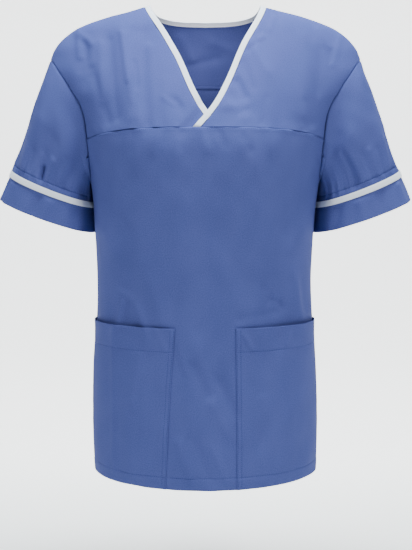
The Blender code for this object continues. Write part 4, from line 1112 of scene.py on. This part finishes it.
STITCH_LENGTH = 0.0024
STITCH_PITCH = 0.0031
THREAD = (0.030, 0.044, 0.170)
THREAD_PALE = (0.045, 0.062, 0.210)
BLUE_THREAD = cloth_material("blue_thread", THREAD, THREAD_PALE, 5000.0, 0.55, sheen=0.1,
                             sheen_tint=(0.8, 0.87, 1.0))
LOZENGE = np.array([(-0.5, 0, -0.1), (-0.3, -0.5, 0.3), (-0.3, 0.5, 0.3), (0.3, -0.5, 0.3), (0.3, 0.5, 0.3),
                    (0.5, 0, -0.1), (-0.3, 0, 1.0), (0.3, 0, 1.0)])
LOZENGE_FACES = np.array([(0, 1, 6), (0, 6, 2), (1, 3, 7), (1, 7, 6), (6, 7, 4), (6, 4, 2),
                          (3, 5, 7), (7, 5, 4), (0, 2, 1), (1, 2, 4), (1, 4, 3), (3, 4, 5)])
THREAD_WIDTH = 0.00070
THREAD_HEIGHT = 0.00030
THREAD_SINK = 0.0005
YOKE_STITCH = 0.0024
EDGE_STITCH = 0.0020
STITCH_END = 0.995
BESIDE_POCKET = 0.012
POCKET_STITCH_START = 0.004
POCKET_STITCH_MARGIN = 0.002


def stitches_along(line, facing):
    """One small lozenge of thread per pitch along a line of points, with the way the cloth faces there."""
    run = run_lengths(line[None], 1)[0]
    at = np.arange(STITCH_PITCH, run[-1] - STITCH_PITCH, STITCH_PITCH)
    centre, ahead, up = (np.stack([np.interp(places, run, values[:, k]) for k in range(3)], -1)
                         for places, values in ((at, line), (at + STITCH_PITCH / 3, line), (at, facing)))
    up, along = unit(up), unit(ahead - centre)
    axes = np.stack([along * STITCH_LENGTH, unit(np.cross(up, along)) * THREAD_WIDTH, up * THREAD_HEIGHT], 1)
    return (centre[:, None] + LOZENGE @ axes).reshape(-1, 3)


def stitching(name, lines):
    """All the stitches of one panel as a joined mesh."""
    points = np.concatenate([stitches_along(line, facing) for line, facing in lines])
    first = np.arange(0, len(points), len(LOZENGE))
    faces = (LOZENGE_FACES + first[:, None, None]).reshape(-1, 3)
    add_piece(name, points, faces, points[faces][..., [0, 2]], BLUE_THREAD)


def line_on_panel(turn, drop, face, lift=0.0):
    """A line of sewing on a lower panel or on a pocket, with the way the cloth faces along it."""
    return body_skin(turn, drop, panel_lift(turn, drop, face) + lift), body_normal(turn, drop)


between = np.linspace(BESIDE_POCKET - POCKET_COLUMN["right"], POCKET_COLUMN["left"] - BESIDE_POCKET, 60)
turn, drop = part_of_front(between, np.array([HEM_STITCH]))
seam_turn = np.linspace(-1.0, 1.0, 300) * armhole(FRONT_SPLIT, "front")[0] * STITCH_END
stitching("front_stitching", [
    line_on_panel(turn[0], drop[0], "front"),
    line_on_panel(seam_turn, yoke_seam_drop(seam_turn) + YOKE_STITCH, "front")])

span = np.linspace(-STITCH_END, STITCH_END, 400)
hem_turn = np.pi + span * np.pi / 2
seam_turn = np.pi + span * (np.pi - armhole(BACK_SPLIT, "back")[0])
stitching("back_stitching", [
    line_on_panel(hem_turn, np.full_like(hem_turn, HEM_STITCH), "back"),
    line_on_panel(seam_turn, back_seam_drop(seam_turn) + YOKE_STITCH, "back")])

for hand, side in HANDS.items():
    edge = POCKET_COLUMN[hand]
    level = side * np.linspace(edge + POCKET_STITCH_START, STITCH_END, 120)
    upright = np.linspace(POCKET_TOP + POCKET_STITCH_MARGIN, HEM - POCKET_STITCH_MARGIN, 120)
    lines = [(level, [at_drop]) for at_drop in (POCKET_TOP + POCKET_HEM, HEM_STITCH)]
    lines += [([side * (edge + inset / CHART_WIDTH)], upright) for inset in (EDGE_STITCH, POCKET_TOPSTITCH)]
    pocket_lines = []
    for columns, rows in lines:
        turn, drop = part_of_front(np.array(columns), np.array(rows))
        lift = pocket_lift(turn, drop, np.array(columns), hand)
        skin, facing = line_on_panel(turn, drop, "front", lift)
        pocket_lines.append((skin.reshape(-1, 3), facing.reshape(-1, 3)))
    stitching("pocket_stitching_" + hand, pocket_lines)

for hand, side in HANDS.items():
    low = sleeve_ring(TAPE_TOP, sleeve_angle, side)
    reach = np.linalg.norm(low - sleeve_edge(sleeve_angle, side), axis=-1)
    above_tape = SLEEVE_STITCH + np.array([0.001, 0.0, -0.001])[:, None] + 0 * reach
    share = 1 - above_tape / reach
    angle = sleeve_angle + 0 * share
    loft = sleeve_loft(angle, share, side)
    facing = outward_normals(loft, side)
    rise = folds_on_sleeve(hand, angle, share, above_tape) - THREAD_SINK
    ring = np.append(np.arange(len(sleeve_angle)), 0)
    line = (loft + rise[..., None] * facing)[1, ring]
    stitching("sleeve_stitching_" + hand, [(line, facing[1, ring])])


# Room
# A pale floor that curves up into a wall, soft light from above and in front, and the picture's camera.

FLOOR_DROP = 0.95
FLOOR_FRONT = -4.0
FLOOR_HALF_WIDTH = 5.0
LEVEL_END = 1.4
BEND_START = 1.6
BEND_RADIUS = 1.2
WALL_HEIGHT = 3.0
FLOOR_COLOUR = (0.90, 0.90, 0.91, 1.0)
BACKDROP_GLOW = {"From Min": -0.3, "From Max": 0.9, "To Min": 0.0, "To Max": 1.9}
ROOM_LIGHT = 0.06
CHEST = (0.0, 0.0, -0.30)
Lamp = namedtuple("Lamp", "name turn height power colour")
LAMPS = [
    Lamp("light_above", 0, 85, 78.0, (0.82, 1.0, 1.0)),
    Lamp("light_front_right", -40, 45, 21.0, (1.0, 1.0, 1.0)),
    Lamp("light_front_left", 40, 45, 30.0, (1.0, 1.0, 1.0)),
    Lamp("light_side_left", 80, 68, 16.5, (0.9, 1.0, 1.0)),
    Lamp("light_side_right", -80, 68, 5.0, (0.9, 1.0, 1.0)),
]
LAMP_DISTANCE = 2.1
LAMP_SIZE = 0.7
NECK_LIGHT = 70.0
NECK_LIGHT_PLACE = (0.0, -1.3, 0.10)
NECK_LIGHT_TARGET = (0.0, 0.10, -0.05)
NECK_LIGHT_CONE = 14
NECK_LIGHT_RADIUS = 0.08
PICTURE_HEIGHT_PIXELS = 550
PICTURE_SHIFT_PIXELS = 0.5
CAMERA_PLACE = (0.0, -1.78, -0.2367)
CAMERA_TARGET = (0.0, 0.0, -0.4207)
CAMERA_SENSOR = 36.0
CAMERA_LENS = 73.206


def glowing_paint(name):
    """Pale paint whose own light grows evenly towards the back, as a lit backdrop does."""
    material = bpy.data.materials.new(name)
    material.use_nodes = True
    tree = material.node_tree
    split = new_node(tree, "SeparateXYZ", {0: new_node(tree, "TexCoord").outputs["Object"]})
    ramp = new_node(tree, "MapRange", {"Value": split.outputs["Y"], **BACKDROP_GLOW})
    ramp.interpolation_type = "SMOOTHSTEP"
    set_inputs(tree, tree.nodes["Principled BSDF"], {
        "Base Color": FLOOR_COLOUR, "Roughness": 0.9, "Emission Color": (1.0, 1.0, 1.0, 1.0),
        "Emission Strength": ramp.outputs["Result"]})
    return material


def sweep_floor():
    """Floor and back wall in one sheet: a straight line, a quarter circle and a straight line, swept."""
    bend = np.linspace(0.0, np.pi / 2, 24)
    level = np.linspace(FLOOR_FRONT, LEVEL_END, 8)
    y = np.concatenate([level, BEND_START + BEND_RADIUS * np.sin(bend), [BEND_START + BEND_RADIUS]])
    z = np.concatenate([0 * level, BEND_RADIUS * (1 - np.cos(bend)), [WALL_HEIGHT]]) - FLOOR_DROP
    sides = [np.stack([np.full_like(y, x), y, z], -1) for x in (-FLOOR_HALF_WIDTH, FLOOR_HALF_WIDTH)]
    faces = [(k, len(y) + k, len(y) + k + 1, k + 1) for k in range(len(y) - 1)]
    mesh = bpy.data.meshes.new("floor")
    mesh.from_pydata(np.concatenate(sides).tolist(), [], faces)
    mesh.shade_smooth()
    mesh.materials.append(glowing_paint("floor_paint"))
    floor = bpy.data.objects.new("floor", mesh)
    bpy.context.scene.collection.objects.link(floor)


def aimed(name, data, place, target):
    """Put a lamp or a camera in the scene, facing a point."""
    thing = bpy.data.objects.new(name, data)
    thing.location = place
    thing.rotation_euler = (Vector(target) - Vector(place)).to_track_quat("-Z", "Y").to_euler()
    bpy.context.scene.collection.objects.link(thing)
    return thing


sweep_floor()
for lamp in LAMPS:
    light = bpy.data.lights.new(lamp.name, "AREA")
    light.size = LAMP_SIZE
    light.energy = lamp.power
    light.color = lamp.colour
    turn, height = np.radians(lamp.turn), np.radians(lamp.height)
    away = np.array([np.sin(turn) * np.cos(height), -np.cos(turn) * np.cos(height), np.sin(height)])
    aimed(lamp.name, light, tuple(CHEST + LAMP_DISTANCE * away), CHEST)
neck_light = bpy.data.lights.new("light_into_neck", "SPOT")
neck_light.energy = NECK_LIGHT
neck_light.spot_size = np.radians(NECK_LIGHT_CONE)
neck_light.spot_blend = 1.0
neck_light.shadow_soft_size = NECK_LIGHT_RADIUS
aimed("light_into_neck", neck_light, NECK_LIGHT_PLACE, NECK_LIGHT_TARGET)

world = bpy.data.worlds.new("room_light")
world.use_nodes = True
set_inputs(world.node_tree, world.node_tree.nodes["Background"],
           {"Color": (1.0, 1.0, 1.0, 1.0), "Strength": ROOM_LIGHT})
bpy.context.scene.world = world

camera = bpy.data.cameras.new("camera")
camera.sensor_fit = "VERTICAL"
camera.sensor_height = CAMERA_SENSOR
camera.lens = CAMERA_LENS
camera.shift_x = PICTURE_SHIFT_PIXELS / PICTURE_HEIGHT_PIXELS
bpy.context.scene.camera = aimed("camera", camera, CAMERA_PLACE, CAMERA_TARGET)
